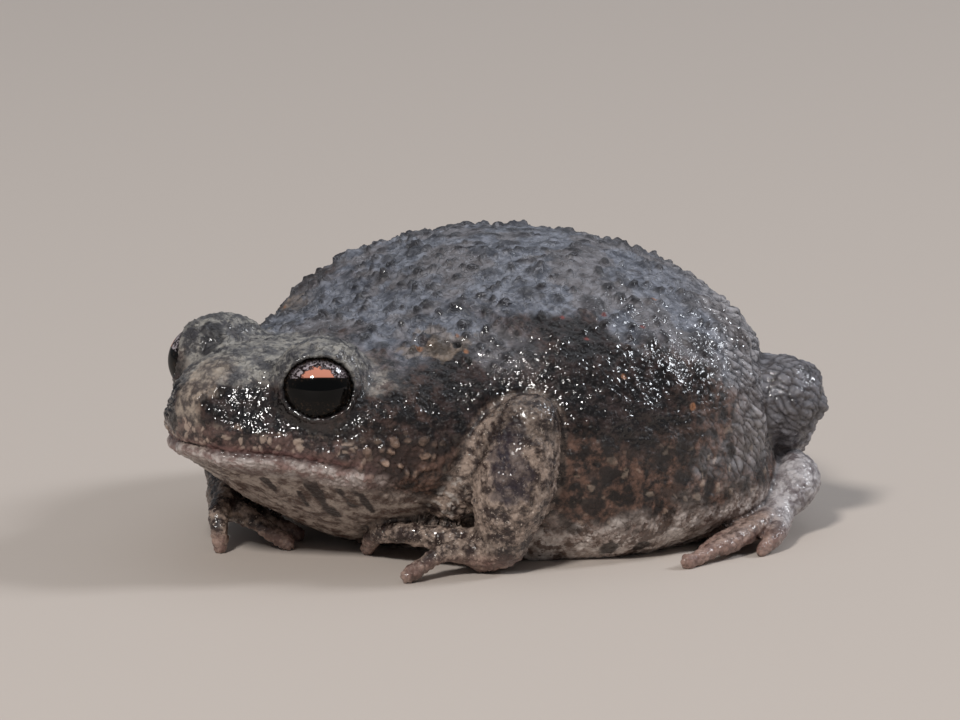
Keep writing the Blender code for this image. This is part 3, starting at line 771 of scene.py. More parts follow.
def large_warts():
    """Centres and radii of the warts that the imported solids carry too."""
    draw = np.random.default_rng(WART_SEED)
    yaw = draw.uniform(-math.pi, math.pi, WART_TRIES)
    rise = np.arcsin(draw.uniform(0.12, 1.0, WART_TRIES))
    radii = draw.uniform(*WART_RADII, WART_TRIES)
    level = np.cos(rise)
    rays = np.column_stack([level * np.sin(yaw), level * np.cos(yaw), np.sin(rise)])
    near, far = np.zeros(WART_TRIES), np.full(WART_TRIES, 14.0)
    for _ in range(20):
        half = (near + far) / 2
        inside = smooth_body(WART_HEART + rays * half[:, None]) < 0
        near, far = np.where(inside, half, near), np.where(inside, far, half)
    warts = []
    for centre, radius in zip(WART_HEART + rays * near[:, None], radii):
        if centre[1] < WART_FOREMOST or len(warts) == WART_COUNT:
            continue
        crowd = [np.linalg.norm(centre - other) - radius - size for other, size in warts]
        if not crowd or min(crowd) > WART_ROOM:
            warts.append((centre, radius))
    return warts


def small_warts(taken):
    """Smaller warts in the room between the large ones, on back, flanks, cheeks and upper limbs."""
    draw = np.random.default_rng(SMALL_SEED)
    spots = points[draw.permutation(len(points))[:SMALL_WARTS * 4]]
    spots = spots[(spots[:, 2] > 2.0) & ~((spots[:, 1] < -10.6) & (spots[:, 2] > 4.6))]
    radii = draw.uniform(*SMALL_RADII, len(spots))
    centres = np.array([centre for centre, _ in taken])
    sizes = np.array([radius for _, radius in taken])
    kept = []
    for spot, radius in zip(spots, radii):
        room = np.linalg.norm(centres - spot, axis=1) - sizes - radius
        if room.min() > 0.03:
            kept.append((spot, radius))
            centres = np.vstack([centres, spot])
            sizes = np.append(sizes, radius)
        if len(kept) == SMALL_WARTS:
            break
    return kept


print("domes no higher than", WART_RISE, "of their radius")

# %% The domes
tree = KDTree(len(points))
for index, point in enumerate(points):
    tree.insert(point, index)
tree.balance()
big, small = large_warts(), []
small = small_warts(big)
dome = np.zeros(len(points))
wart_top = np.zeros(len(points))
for warts, rise_by, darkness in ((big, WART_RISE, 1.0), (small, SMALL_RISE, SMALL_SHADE)):
    for centre, radius in warts:
        for _, index, away in tree.find_range(centre, radius * 1.15):
            part = away / radius
            if part < 1:
                dome[index] = max(dome[index], radius * rise_by * (1 - part ** 2) ** 2)
            wart_top[index] = max(wart_top[index], darkness * max(0.0, 1 - part ** 2 / 1.3))
print(len(big), "large warts and", len(small), "small ones")

# %% [markdown]
# ## Granules, wrinkles and ridges
# Close up, the skin is packed with granules a quarter of a millimetre wide, which is what makes it glitter
# when wet. On the back and nape low dark lumps and fine pale wrinkles lie between the warts, and on the
# rear flank and the knees they are drawn out into ridges that run down and back. All of them could be one
# noise, but then no part would have its own grain. So the lumps, granules and ridges are pebbles of their
# own sizes, and the wrinkles follow the lines where a soft noise changes sign, which meander as folds do.

# %% Lumps, beads, granules and wrinkles
LUMP_SIZE = 0.54
BEAD_SIZE = 0.5
GRAIN_SIZE = 0.25
WRINKLE_SIZE = 0.44
FINE_WRINKLE_SIZE = 0.24
bent = points + 0.14 * np.column_stack([patches(points, 0.6, seed) for seed in (21, 22, 23)])
drifted = (bent + 0.1 * wander[:, None]) * np.array((0.9, 0.8, 1.0))
near_lump, _, lump_label = pebbles(drifted, LUMP_SIZE, 71)
lump = (1 - step_up(near_lump + 0.08 * sprinkle, 0.14, 0.46)) * (0.5 + 0.5 * lump_label)
near_bead, _, bead_label = pebbles(bent, BEAD_SIZE, 73)
bead = 1 - step_up(near_bead + 0.08 * sprinkle, 0.15, 0.5)
near_grain, next_grain, grain_label = pebbles(bent, GRAIN_SIZE, 31)
grain = 1 - np.exp(-3.5 * (next_grain - near_grain))
flow = bent * np.array((1.0, 0.85, 1.0))
wrinkle = np.exp(-(patches(flow, WRINKLE_SIZE, 51, 2) / 0.2) ** 2)
fine_wrinkle = np.exp(-(patches(flow, FINE_WRINKLE_SIZE, 53, 1) / 0.25) ** 2)
print("lumps of", LUMP_SIZE, "mm and granules of", GRAIN_SIZE, "mm")

# %% Ridges of the rear flank and folds of the knees
RIDGE_SIZE = 0.27
KNEE_FOLD_SIZE = 0.32
DRAWN_OUT_BY = 3.2
down_back = np.array((0.0, 0.78, -0.62))
across_ridge = np.array((0.0, 0.62, 0.78))
drawn_out = np.column_stack([bent[:, 0] * 0.75, bent @ down_back / DRAWN_OUT_BY, bent @ across_ridge])
near_ridge, next_ridge, _ = pebbles(drawn_out, RIDGE_SIZE, 33)
ridge = 1 - np.exp(-3.0 * (next_ridge - near_ridge))
near_fold, next_fold, _ = pebbles(drawn_out, KNEE_FOLD_SIZE, 35)
knee_fold = 1 - np.exp(-3.0 * (next_fold - near_fold))
print("ridges", DRAWN_OUT_BY, "times as long as wide")

# %% Rows of beads round the lids
LID_ROWS = ((0.13, 44), (0.34, 38))
lid_beads = np.zeros(len(points))
for side, opening in zip(SIDES, OPENINGS):
    outside = opening.distance(points)
    own = (points - np.array(eye_centre(side))) @ np.array(turn(side * EYE_YAW, EYE_PITCH))
    around = np.arctan2(own[:, 2], own[:, 0])
    for ring, count in LID_ROWS:
        row = np.exp(-((outside - ring) / 0.05) ** 2) * (0.5 + 0.5 * np.cos(count * around))
        lid_beads = np.maximum(lid_beads, row * (eye_away < 2.4))
print(len(LID_ROWS), "rows of beads round each eye")

# %% How much of each kind lies where
smoothness = np.clip(0.5 * crown + 0.5 * lid, 0, 0.8)
wrinkle_share = np.clip(slate + 0.1 * crown, 0, 1) * (1 - 0.85 * rear)
ridge_share = np.clip(rear + on_leg, 0, 1)
grain_share = np.clip(1 - 0.75 * wrinkle_share - ridge_share, 0.12, 1) * (1 - smoothness)
print("granules cover", round(float(grain_share.mean()), 2), "of the skin")

# %% All heights together
FOLD_HEIGHT = 0.10
GRAIN_HEIGHT = 0.065
WRINKLE_HEIGHT = 0.055
FINE_WRINKLE_HEIGHT = 0.03
LUMP_HEIGHT = 0.25
KNEE_FOLD_HEIGHT = 0.08
KNEE_GRAIN_HEIGHT = 0.07
LIMB_BEAD_HEIGHT = 0.04
CHEEK_WART_HEIGHT = 0.32
LID_BEAD_HEIGHT = 0.03
HOLE_DEPTH = 0.12
CREASE_DEPTH = 0.03
RIPPLE_HEIGHT = 0.03
CROWN_RIPPLE_HEIGHT = 0.02
PIT_PLACES = [((5.0, -7.05, 8.0), 0.2), ((5.75, -7.15, 7.5), 0.16)]
fold = FOLD_HEIGHT * patches(points, 2.6, 41, 2) * bare * (1 - 0.7 * on_head)
# The two pits are carved here, and later painted near black as shade.
holes = sum(close_to((place, place), radius, 0.0) for place, radius in PIT_PLACES)
ridge_height = 0.11 + 0.09 * step_up(wander, -0.4, 0.6)
creased = WRINKLE_HEIGHT * (wrinkle - 0.3) + FINE_WRINKLE_HEIGHT * (fine_wrinkle - 0.4)
knees = KNEE_FOLD_HEIGHT * (knee_fold - 0.5) + KNEE_GRAIN_HEIGHT * (grain - 0.5)
lumpy = np.clip(slate + 0.4 * black, 0, 1) * (1 - 0.8 * rear) * (1 - 0.75 * crown)
relief = fold + dome * (1 - 0.9 * on_head) * (1 - 0.6 * pale) * (1 - on_hand) * (1 - on_foot)
relief += grain_share * (GRAIN_HEIGHT + 0.01 * black - 0.02 * pale) * (grain - 0.5)
relief += wrinkle_share * creased * (1 - 0.6 * lump)
relief += LUMP_HEIGHT * lump * lumpy
relief += rear * ridge_height * (ridge - 0.5) + on_leg * knees
relief *= 1 - 0.75 * pinched
relief += LID_BEAD_HEIGHT * lid_beads + CHEEK_WART_HEIGHT * cheek * (bead - 0.3)
relief -= HOLE_DEPTH * holes + CREASE_DEPTH * creases
relief += RIPPLE_HEIGHT * fine_wander * (1 - smoothness) + CROWN_RIPPLE_HEIGHT * crown * sprinkle
relief += LIMB_BEAD_HEIGHT * on_limb * (bead - 0.5) * (1 - on_foot)
print("relief from", np.round(relief.min(), 2), "to", np.round(relief.max(), 2), "mm")

# %% [markdown]
# The carved skin must stay inside the box of the solids. It could be cut off there, but a flat would show,
# so whatever comes near a face of the box is drawn in softly. A film of water lies smoother than the
# granules under it, so each point also keeps a direction between that of the carved skin and that of the
# smooth one.

# %% The skin takes its place in the frame
FILM_SHARE = 0.6
EDGE_REACH = 0.4


def eased(places, limit):
    """Draws whatever nears a limit back inside it, without a flat."""
    over = np.maximum(places - (limit - EDGE_REACH), 0.0)
    return np.where(over > 0, limit - EDGE_REACH * np.exp(-over / EDGE_REACH), places)


box_low = (np.array(cad_low) - np.array(FRAME_SHIFT)) / MM
box_high = (np.array(cad_high) - np.array(FRAME_SHIFT)) / MM
carved = points + normals * relief[:, None]
for axis in range(3):
    carved[:, axis] = eased(carved[:, axis], box_high[axis])
for axis in range(2):
    carved[:, axis] = -eased(-carved[:, axis], -box_low[axis])
carved[:, 2] = np.maximum(carved[:, 2], 0.0)
skin.data.vertices.foreach_set("co", (carved * MM + np.array(FRAME_SHIFT)).ravel())
skin.data.update()
skin.data.shade_smooth()
film_way = (1 - FILM_SHARE) * numbers(skin.data, "normal") + FILM_SHARE * normals
film_way /= np.linalg.norm(film_way, axis=1)[:, None]
layer = skin.data.attributes.new("film_way", "FLOAT_VECTOR", "POINT")
layer.data.foreach_set("vector", film_way.astype(np.float32).ravel())
print(len(skin.data.polygons), "faces in one skin")

# %% [markdown]
# ## Spots, streaks and flecks
# Every toadlet has marks of its own. This one carries a few red and orange warts on the shoulder, a tan
# fold behind the head, black spots low on the flank and dark streaks on the throat. They could be scattered
# at random, but here each of the larger ones has its own place in millimetres, so it stays where it was
# seen.

# %% Marks in their own places
RED_WARTS = [(6.85, -3.65, 8.93), (7.4, -2.1, 8.95), (8.2, -0.92, 8.48), (7.9, -3.4, 8.2)]
ORANGE_WARTS = [(7.11, 0.56, 9.19), (10.12, -0.12, 5.69), (9.3, -2.8, 6.97),
                (4.75, -6.85, 8.3), (5.5, -7.05, 7.75), (4.1, -8.1, 7.85), (8.85, -7.75, 5.9)]
BLACK_SPOTS = [
    ((9.21, -4.17, 2.37), 0.3), ((9.78, -2.89, 2.51), 0.26), ((8.53, -4.4, 1.36), 0.24),
    ((8.65, -2.78, 0.5), 0.4), ((9.1, -1.7, 0.5), 0.34), ((10.16, -1.0, 3.2), 0.3),
    ((10.2, 0.6, 2.6), 0.3), ((10.3, -0.4, 4.4), 0.34), ((9.9, 2.6, 2.6), 0.25),
    ((10.0, 1.6, 3.9), 0.3), ((9.4, -3.8, 3.6), 0.28),
]
THROAT_STREAKS = [
    ((3.5, -13.0, 3.75), (2.6, -10.8, 1.9), 0.24), ((4.05, -11.95, 3.2), (3.6, -10.8, 2.4), 0.17),
    ((4.4, -11.1, 2.9), (3.8, -10.1, 2.1), 0.16), ((5.0, -10.6, 2.9), (4.8, -9.6, 2.3), 0.24),
    ((1.9, -13.6, 3.5), (1.4, -12.0, 2.4), 0.14), ((4.6, -11.9, 3.5), (4.3, -11.2, 3.0), 0.16),
    ((5.2, -10.2, 2.5), (4.4, -9.3, 1.7), 0.2), ((2.6, -12.6, 2.9), (2.2, -11.8, 2.3), 0.1),
]
LID_BAND = ((2.35, -12.9, 8.3), (2.0, -13.3, 7.6))
TAN_FOLD = ((4.2, -7.9, 8.05), (5.3, -6.8, 8.0))
FOREARM_PATCH = ((9.0, -7.8, 5.3), (8.9, -7.9, 3.5))
UPPER_ARM_PATCH = ((6.1, -9.2, 3.4), (5.7, -8.5, 2.4))
RED_RADIUS = 0.12
ORANGE_RADIUS = 0.13
red_spot = sum(close_to((place, place), RED_RADIUS) for place in RED_WARTS)
orange_spot = sum(close_to((place, place), ORANGE_RADIUS) for place in ORANGE_WARTS)
black_spot = sum(close_to((place, place), 1.1 * radius, 0.45) for place, radius in BLACK_SPOTS)
streaks = sum(close_to((start, end), radius, 0.55) for start, end, radius in THROAT_STREAKS) * throat
lid_band = close_to(LID_BAND, 0.42, 0.5) * (x < 0)
tan_fold = close_to(TAN_FOLD, 0.6, 0.9)
forearm_dark = close_to(FOREARM_PATCH, 0.75, 0.6)
upper_arm_milk = close_to(UPPER_ARM_PATCH, 0.95, 0.6) * step_up(sprinkle + fine_wander, -0.1, 0.3)
print(len(BLACK_SPOTS), "black spots and", len(THROAT_STREAKS), "throat streaks on each side")

# %% [markdown]
# ## What the colours follow
# The colours need the same knowledge as the carving: where the warts, creases and granules are, and how far
# the lips, lids and belly reach. Each such share is written on the points under a plain name, and the
# skin's nodes read it there. The colours themselves stay in the nodes.

# %% Mouth, pits, flecks and toes
mouth_here = step_up(-y, 10.6, 12.4) * on_head
red_lip = mouth_here * np.exp(-((gape - 0.1) / 0.13) ** 2)
lip_mottle = mouth_here * step_up(gape, 0.1, 0.3) * (1 - step_up(gape + 0.2 * fine_wander, 0.7, 1.1))
pale_lip = step_up(-y, 10.0, 11.8) * on_head * np.exp(-((gape + 0.4) / 0.3) ** 2)
# Painted shade along the mouth's groove.
mouth_groove_shade = mouth_here * np.exp(-(gape / 0.06) ** 2)
# Near black in the nostrils is painted shade in the holes; the same near black also runs along the inner edge
# of the lids.
pits = np.zeros(len(points))
for side in SIDES:
    away = np.linalg.norm(points - np.array((side * NOSTRIL[0], NOSTRIL[1], NOSTRIL[2])), axis=1)
    pits = np.maximum(pits, 1 - step_up(away, 0.1, 0.2))
for opening in OPENINGS:
    pits = np.maximum(pits, 1 - step_up(opening.distance(points), 0.0, 0.07))
low_flank = step_up(-z, -5.6, -3.2)
flecked = np.clip(0.35 * low_flank + 0.8 * rear + 0.5 * on_limb, 0, 1)
cream = (grain_label > 0.93) * step_up(grain, 0.2, 0.6) * flecked
lip_cream = (grain_label > 0.62) * step_up(grain, 0.25, 0.55)
warm = step_up(patches(points, 1.9, 61, 3) + 0.25 * fine_wander, 0.05, 0.5)
wart_dark = 0.75 * step_up(wart_top + 0.3 * fine_wander + 0.15 * sprinkle, 0.35, 0.9)
wart_dark = np.maximum(wart_dark, step_up(lump + 0.2 * fine_wander + 0.12 * sprinkle, 0.12, 0.55))
toes_pink = np.clip(on_hand + on_foot, 0, 1) * (1 - step_up(z, 0.5, 1.0))
ankle = on_foot * step_up(y - 0.5 * z, 2.2, 3.6)
print(int((cream > 0.5).sum()), "points in cream flecks")

# %% Shares that the skin's finish reads
shares = {
    "slate": slate,
    "warm": warm,
    "wart_dark": wart_dark,
    "wrinkle": wrinkle_share * (0.65 * wrinkle + 0.35 * fine_wrinkle),
    "black": black,
    "crown": crown,
    "rear": rear,
    "ridge_top": ridge,
    "grain_top": grain_share * grain,
    "pale": pale,
    "throat": throat,
    "streaks": np.clip(streaks, 0, 1),
    "black_spot": np.clip(black_spot, 0, 1) * bare,
    "red_spot": np.clip(red_spot, 0, 1),
    "orange_spot": np.clip(orange_spot, 0, 1),
    "tan_fold": tan_fold,
    "holes": np.clip(holes, 0, 1),
    "lid_band": np.clip(lid_band, 0, 1),
    "snout_tip": snout_tip,
    "snout_wet": snout_wet,
    "cheek": cheek,
    "bead": bead * (0.3 + 0.7 * bead_label),
    "red_lip": red_lip,
    "lip_mottle": lip_mottle,
    "lip_cream": lip_cream,
    "pale_lip": pale_lip,
    "mouth_groove_shade": mouth_groove_shade,
    "pits": pits,
    "cream": cream,
    "creases": creases,
    "on_limb": on_limb,
    "on_leg": on_leg * (1 - on_foot),
    "on_foot": on_foot,
    "ankle": ankle,
    "toes_pink": toes_pink,
    "fold_top": knee_fold,
    "forearm_dark": forearm_dark * on_limb,
    "upper_arm_milk": upper_arm_milk * (1 - on_hand),
}
for name, share in shares.items():
    layer = skin.data.attributes.new(name, "FLOAT", "POINT")
    layer.data.foreach_set("value", np.ascontiguousarray(share, dtype=np.float32))
print(len(shares), "shares written on the skin")

# %% [markdown]
# ## The skin's finish
# Paint could be laid on in one noise, but a real skin is layered: a brown ground, slate over the back,
# khaki on the crown, wet black on the shoulders and snout, cream granules, pale belly, dusky lips. So the
# nodes lay one colour over the last, each by its own share. The shares bring their uneven edges along, and
# a few noises mottle the colours themselves.

# %% Helpers for laying colour over colour
class Finish:
    """Builds one material, a layer at a time."""

    def __init__(self, name):
        self.paint = bpy.data.materials.new(name)
        self.paint.use_nodes = True
        self.nodes = self.paint.node_tree.nodes
        self.links = self.paint.node_tree.links
        self.surface = self.nodes["Principled BSDF"]
        self.place = self.nodes.new("ShaderNodeTexCoord").outputs["Object"]

    def feed(self, value, socket):
        if isinstance(value, bpy.types.NodeSocket):
            self.links.new(value, socket)
        else:
            socket.default_value = value

    def share(self, name):
        """A share that was written on the points."""
        node = self.nodes.new("ShaderNodeAttribute")
        node.attribute_name = name
        return node.outputs["Fac"]

    def noise(self, size, detail=3.0, rough=0.55):
        """Soft noise whose patches are about size millimetres wide."""
        node = self.nodes.new("ShaderNodeTexNoise")
        node.inputs["Scale"].default_value = 1.0 / (size * MM)
        node.inputs["Detail"].default_value = detail
        node.inputs["Roughness"].default_value = rough
        self.links.new(self.place, node.inputs["Vector"])
        return node.outputs["Fac"]

    def winding(self, size, width, stretch=(1.0, 0.85, 1.0)):
        """Thin winding lines, where a drawn-out noise passes its middle value."""
        drawn = self.nodes.new("ShaderNodeVectorMath")
        drawn.operation = "MULTIPLY"
        self.links.new(self.place, drawn.inputs[0])
        drawn.inputs[1].default_value = stretch
        node = self.nodes.new("ShaderNodeTexNoise")
        node.inputs["Scale"].default_value = 1.0 / (size * MM)
        node.inputs["Detail"].default_value = 1.5
        node.inputs["Distortion"].default_value = 0.5
        self.links.new(drawn.outputs[0], node.inputs["Vector"])
        off_middle = self.sum_of("ABSOLUTE", self.sum_of("SUBTRACT", node.outputs["Fac"], 0.5), 0.0)
        return self.ramp(off_middle, 0.0, width, 1.0, 0.0)

    def cells(self, size):
        """Distance to the nearest of many scattered seeds."""
        node = self.nodes.new("ShaderNodeTexVoronoi")
        node.inputs["Scale"].default_value = 1.0 / (size * MM)
        self.links.new(self.place, node.inputs["Vector"])
        return node.outputs["Distance"]

    def ramp(self, value, low, high, bottom=0.0, top=1.0):
        """Turns low to high into bottom to top, and stops there."""
        node = self.nodes.new("ShaderNodeMapRange")
        node.interpolation_type = "SMOOTHSTEP"
        self.feed(value, node.inputs["Value"])
        node.inputs["From Min"].default_value = low
        node.inputs["From Max"].default_value = high
        node.inputs["To Min"].default_value = bottom
        node.inputs["To Max"].default_value = top
        return node.outputs["Result"]

    def sum_of(self, kind, a, b):
        node = self.nodes.new("ShaderNodeMath")
        node.operation = kind
        self.feed(a, node.inputs[0])
        self.feed(b, node.inputs[1])
        return node.outputs[0]

    def over(self, share, below, above):
        """Lays one colour over another by a share."""
        node = self.nodes.new("ShaderNodeMix")
        node.data_type = "RGBA"
        self.feed(share, node.inputs[0])
        self.feed(below, node.inputs[6])
        self.feed(above, node.inputs[7])
        return node.outputs[2]

    def direction(self, name):
        """A direction that was written on the points."""
        node = self.nodes.new("ShaderNodeAttribute")
        node.attribute_name = name
        return node.outputs["Vector"]

    def bump(self, height, depth, under=None):
        node = self.nodes.new("ShaderNodeBump")
        node.inputs["Strength"].default_value = 1.0
        node.inputs["Distance"].default_value = depth * MM
        self.links.new(height, node.inputs["Height"])
        if under:
            self.links.new(under, node.inputs["Normal"])
        return node.outputs["Normal"]


print("a finish is built from shares, noise and layers")

# %% The noises that all the colours share
hide = Finish("toadlet_hide")
blotch = hide.noise(1.5, 4.0)
mottle = hide.noise(0.5, 5.0, 0.62)
speckle = hide.noise(0.15, 3.0, 0.7)
fleck = hide.noise(0.8, 5.0, 0.75)


def shade(share, strength):
    return hide.sum_of("MULTIPLY", hide.share(share), strength)


winding = hide.winding(0.42, 0.035)
print("blotches, mottle, specks, flecks and winding lines")

# %% Brown flank, ridged rear with painted light, and slate back
flank = hide.over(hide.ramp(mottle, 0.40, 0.64), linear(23, 15, 13), linear(104, 77, 65))
flank = hide.over(hide.ramp(blotch, 0.50, 0.62, 0.0, 0.7), flank, linear(30, 23, 22))
flank = hide.over(shade("cream", 0.75), flank, linear(190, 170, 152))
# The rear's ridges are grey. Their tops are painted near white as a highlight, and the gaps between them are
# painted dark as shade.
ridges_with_painted_light = hide.over(hide.share("ridge_top"), linear(30, 25, 26), linear(214, 209, 212))
ridges_with_painted_light = hide.over(hide.ramp(blotch, 0.48, 0.60, 0.0, 0.45), ridges_with_painted_light, linear(72, 56, 50))
slate = hide.over(hide.ramp(mottle, 0.35, 0.65), linear(76, 80, 91), linear(142, 146, 158))
slate = hide.over(shade("warm", 0.4), slate, linear(122, 110, 102))
slate = hide.over(shade("wart_dark", 0.92), slate, linear(30, 30, 37))
slate = hide.over(hide.sum_of("MULTIPLY", winding, 0.3), slate, linear(190, 191, 200))
slate = hide.over(shade("wrinkle", 0.2), slate, linear(160, 160, 166))
colour = hide.over(shade("slate", 0.95), flank, slate)
colour = hide.over(shade("rear", 0.85), colour, ridges_with_painted_light)
print(len(hide.nodes), "nodes so far")

# %% Wet black and its spots, and the tan fold
SPOT_BLACK = linear(26, 19, 18)
wet_black = hide.over(hide.ramp(mottle, 0.44, 0.70), linear(17, 14, 15), linear(50, 41, 41))
colour = hide.over(shade("black", 0.92), colour, wet_black)
colour = hide.over(shade("black_spot", 0.9), colour, SPOT_BLACK)
tan = hide.over(hide.ramp(mottle, 0.4, 0.6), linear(92, 80, 70), linear(146, 130, 116))
colour = hide.over(shade("tan_fold", 0.55), colour, tan)
print(len(hide.nodes), "nodes so far")

# %% Khaki crown and pale snout tip
khaki = hide.over(hide.ramp(mottle, 0.36, 0.64), linear(88, 86, 88), linear(168, 163, 155))
khaki = hide.over(hide.ramp(fleck, 0.50, 0.58, 0.0, 0.85), khaki, linear(52, 50, 55))
khaki = hide.over(hide.ramp(speckle, 0.58, 0.70, 0.0, 0.5), khaki, linear(178, 172, 162))
khaki = hide.over(shade("lid_band", 0.85), khaki, linear(30, 28, 32))
colour = hide.over(shade("crown", 0.95), colour, khaki)
tip = hide.over(hide.ramp(mottle, 0.4, 0.6), linear(84, 74, 70), linear(168, 154, 140))
colour = hide.over(shade("snout_tip", 0.8), colour, tip)
print(len(hide.nodes), "nodes so far")

# %% Pale belly edge, throat and cheek
milk = hide.over(hide.ramp(mottle, 0.38, 0.62), linear(150, 134, 126), linear(214, 204, 198))
milk = hide.over(hide.ramp(fleck, 0.50, 0.58, 0.0, 0.85), milk, linear(84, 64, 54))
gular = hide.over(hide.ramp(mottle, 0.38, 0.62), linear(84, 64, 56), linear(176, 162, 152))
milk = hide.over(hide.share("throat"), milk, gular)
milk = hide.over(hide.share("streaks"), milk, linear(42, 28, 26))
colour = hide.over(hide.share("pale"), colour, milk)
spot_on_pale = hide.sum_of("MULTIPLY", shade("pale", 0.9), hide.share("black_spot"))
colour = hide.over(spot_on_pale, colour, SPOT_BLACK)
cheek = hide.over(hide.ramp(hide.share("bead"), 0.06, 0.4), linear(52, 35, 31), linear(164, 136, 118))
colour = hide.over(shade("cheek", 0.8), colour, cheek)
print(len(hide.nodes), "nodes so far")

# %% Limbs
limb = hide.over(hide.ramp(mottle, 0.40, 0.60), linear(52, 40, 37), linear(152, 134, 122))
limb = hide.over(hide.ramp(fleck, 0.54, 0.62, 0.0, 0.8), limb, linear(38, 30, 31))
limb = hide.over(hide.ramp(speckle, 0.60, 0.68, 0.0, 0.75), limb, linear(200, 184, 170))
limb = hide.over(shade("forearm_dark", 0.6), limb, linear(46, 40, 50))
limb = hide.over(shade("upper_arm_milk", 0.8), limb, linear(172, 164, 158))
# The knee's grey folds are painted pale on their tops as a highlight and dark between them as shade.
knee = hide.over(hide.share("fold_top"), linear(56, 54, 60), linear(182, 181, 190))
limb = hide.over(shade("on_leg", 0.85), limb, knee)
sole = hide.over(hide.ramp(mottle, 0.38, 0.62), linear(84, 66, 60), linear(146, 124, 114))
limb = hide.over(shade("on_foot", 0.8), limb, sole)
lobe = hide.over(hide.ramp(mottle, 0.36, 0.60), linear(112, 104, 106), linear(176, 172, 174))
limb = hide.over(shade("ankle", 0.85), limb, lobe)
limb = hide.over(shade("toes_pink", 0.45), limb, linear(150, 118, 108))
colour = hide.over(hide.share("on_limb"), colour, limb)
print(len(hide.nodes), "nodes so far")

# %% Lips, coloured warts, and painted shade in creases, pits and between granules
lip = hide.over(hide.ramp(mottle, 0.42, 0.58), linear(40, 30, 30), linear(96, 74, 69))
lip = hide.over(shade("lip_cream", 0.8), lip, linear(170, 150, 136))
colour = hide.over(shade("lip_mottle", 0.85), colour, lip)
colour = hide.over(shade("red_lip", 0.5), colour, linear(120, 78, 76))
chin = hide.over(hide.ramp(mottle, 0.40, 0.60), linear(150, 124, 118), linear(200, 190, 186))
colour = hide.over(shade("pale_lip", 0.95), colour, chin)
# Painted shade darkens the mouth's groove.
colour = hide.over(shade("mouth_groove_shade", 0.7), colour, linear(52, 34, 34))
colour = hide.over(shade("red_spot", 0.85), colour, linear(122, 56, 52))
colour = hide.over(shade("orange_spot", 0.85), colour, linear(152, 104, 72))
# Painted shade: the creases where limbs meet the body, and where limb parts meet, are darkened.
colour = hide.over(shade("creases", 0.45), colour, linear(28, 22, 21))
# Painted shade: the two carved pits are painted near black.
colour = hide.over(hide.share("holes"), colour, linear(18, 14, 12))
# Painted shade: the skin is darkened between the granules and where they are low.
colour = hide.over(hide.ramp(hide.share("grain_top"), 0.0, 0.5, 0.3, 0.0), colour, linear(20, 16, 16))
# Painted shade in the nostrils, and the same near black along the inner edge of the lids.
colour = hide.over(hide.share("pits"), colour, linear(12, 10, 11))
hide.links.new(colour, hide.surface.inputs["Base Color"])
print(len(hide.nodes), "nodes lay the skin's colours")

# %% [markdown]
# Wetness is a thin clear coat over a duller skin, and it is strongest on the black parts, the rear and the
# snout. The coat could follow every granule, but then no highlight would be large enough to see. It follows
# the film's direction instead, and shallow drops about 0.2 mm wide break it into sparks on every side.

# %% Where the skin is wet
COAT_ROUGHNESS = 0.08
COAT_IOR = 1.5
wet = hide.sum_of("MAXIMUM", hide.share("black"), hide.share("rear"))
wet = hide.sum_of("MAXIMUM", wet, shade("slate", 0.6))
wet = hide.sum_of("MAXIMUM", wet, hide.share("forearm_dark"))
wet = hide.sum_of("MAXIMUM", wet, shade("on_limb", 0.7))
wet = hide.sum_of("MAXIMUM", wet, 0.45)
film = hide.sum_of("MULTIPLY", hide.ramp(blotch, 0.36, 0.56, 0.5, 1.0), wet)
film = hide.sum_of("MAXIMUM", film, hide.share("snout_wet"))
hide.links.new(film, hide.surface.inputs["Coat Weight"])
hide.surface.inputs["Coat Roughness"].default_value = COAT_ROUGHNESS
hide.surface.inputs["Coat IOR"].default_value = COAT_IOR
dulled = hide.sum_of("ADD", wet, hide.ramp(speckle, 0.3, 0.7, -0.2, 0.2))
hide.links.new(hide.ramp(dulled, 0.0, 1.0, 0.6, 0.4), hide.surface.inputs["Roughness"])
hide.links.new(hide.ramp(wet, 0.0, 1.0, 0.5, 0.1), hide.surface.inputs["Specular IOR Level"])
print("a clear coat of roughness", COAT_ROUGHNESS, "over a skin of 0.4 to 0.6")

# %% The bump of the skin and of the film over it
BEAD_WIDTH, BEAD_DEPTH = 0.17, 0.03
DROP_WIDTH, DROP_DEPTH = 0.2, 0.024
SWELL_WIDTH, SWELL_DEPTH = 0.5, 0.12
LINE_DEPTH = 0.045
DUST_WIDTH, DUST_DEPTH = 0.06, 0.006
beads = hide.ramp(hide.cells(BEAD_WIDTH), 0.0, 0.75, 1.0, 0.0)
fine = hide.bump(hide.sum_of("MULTIPLY", beads, hide.ramp(wet, 0.0, 1.0, 0.4, 1.0)), BEAD_DEPTH)
drops = hide.ramp(hide.cells(DROP_WIDTH), 0.0, 0.8, 1.0, 0.0)
swell = hide.bump(hide.noise(SWELL_WIDTH, 2.0), SWELL_DEPTH, hide.direction("film_way"))
film_bump = hide.bump(drops, DROP_DEPTH, swell)
ribbed = hide.bump(hide.sum_of("MULTIPLY", winding, hide.share("slate")), LINE_DEPTH, fine)
rough = hide.bump(hide.noise(DUST_WIDTH, 2.0), DUST_DEPTH, ribbed)
hide.links.new(rough, hide.surface.inputs["Normal"])
hide.links.new(film_bump, hide.surface.inputs["Coat Normal"])
skin.data.materials.clear()
skin.data.materials.append(hide.paint)
print(len(hide.nodes), "nodes in the skin's finish")

# %% [markdown]
# ## The eyes
# A toadlet's eye is a dark wet ball. Its pupil lies flat, with a copper patch over it between two lilac
# ones, and the lower iris is nearly black with fine gold veins. A photograph could be wrapped round it, but
# a few ellipses, worked out in the eye's own directions, stay sharp from every side.

# %% Eyeballs
EYE_FORWARD = 0.13


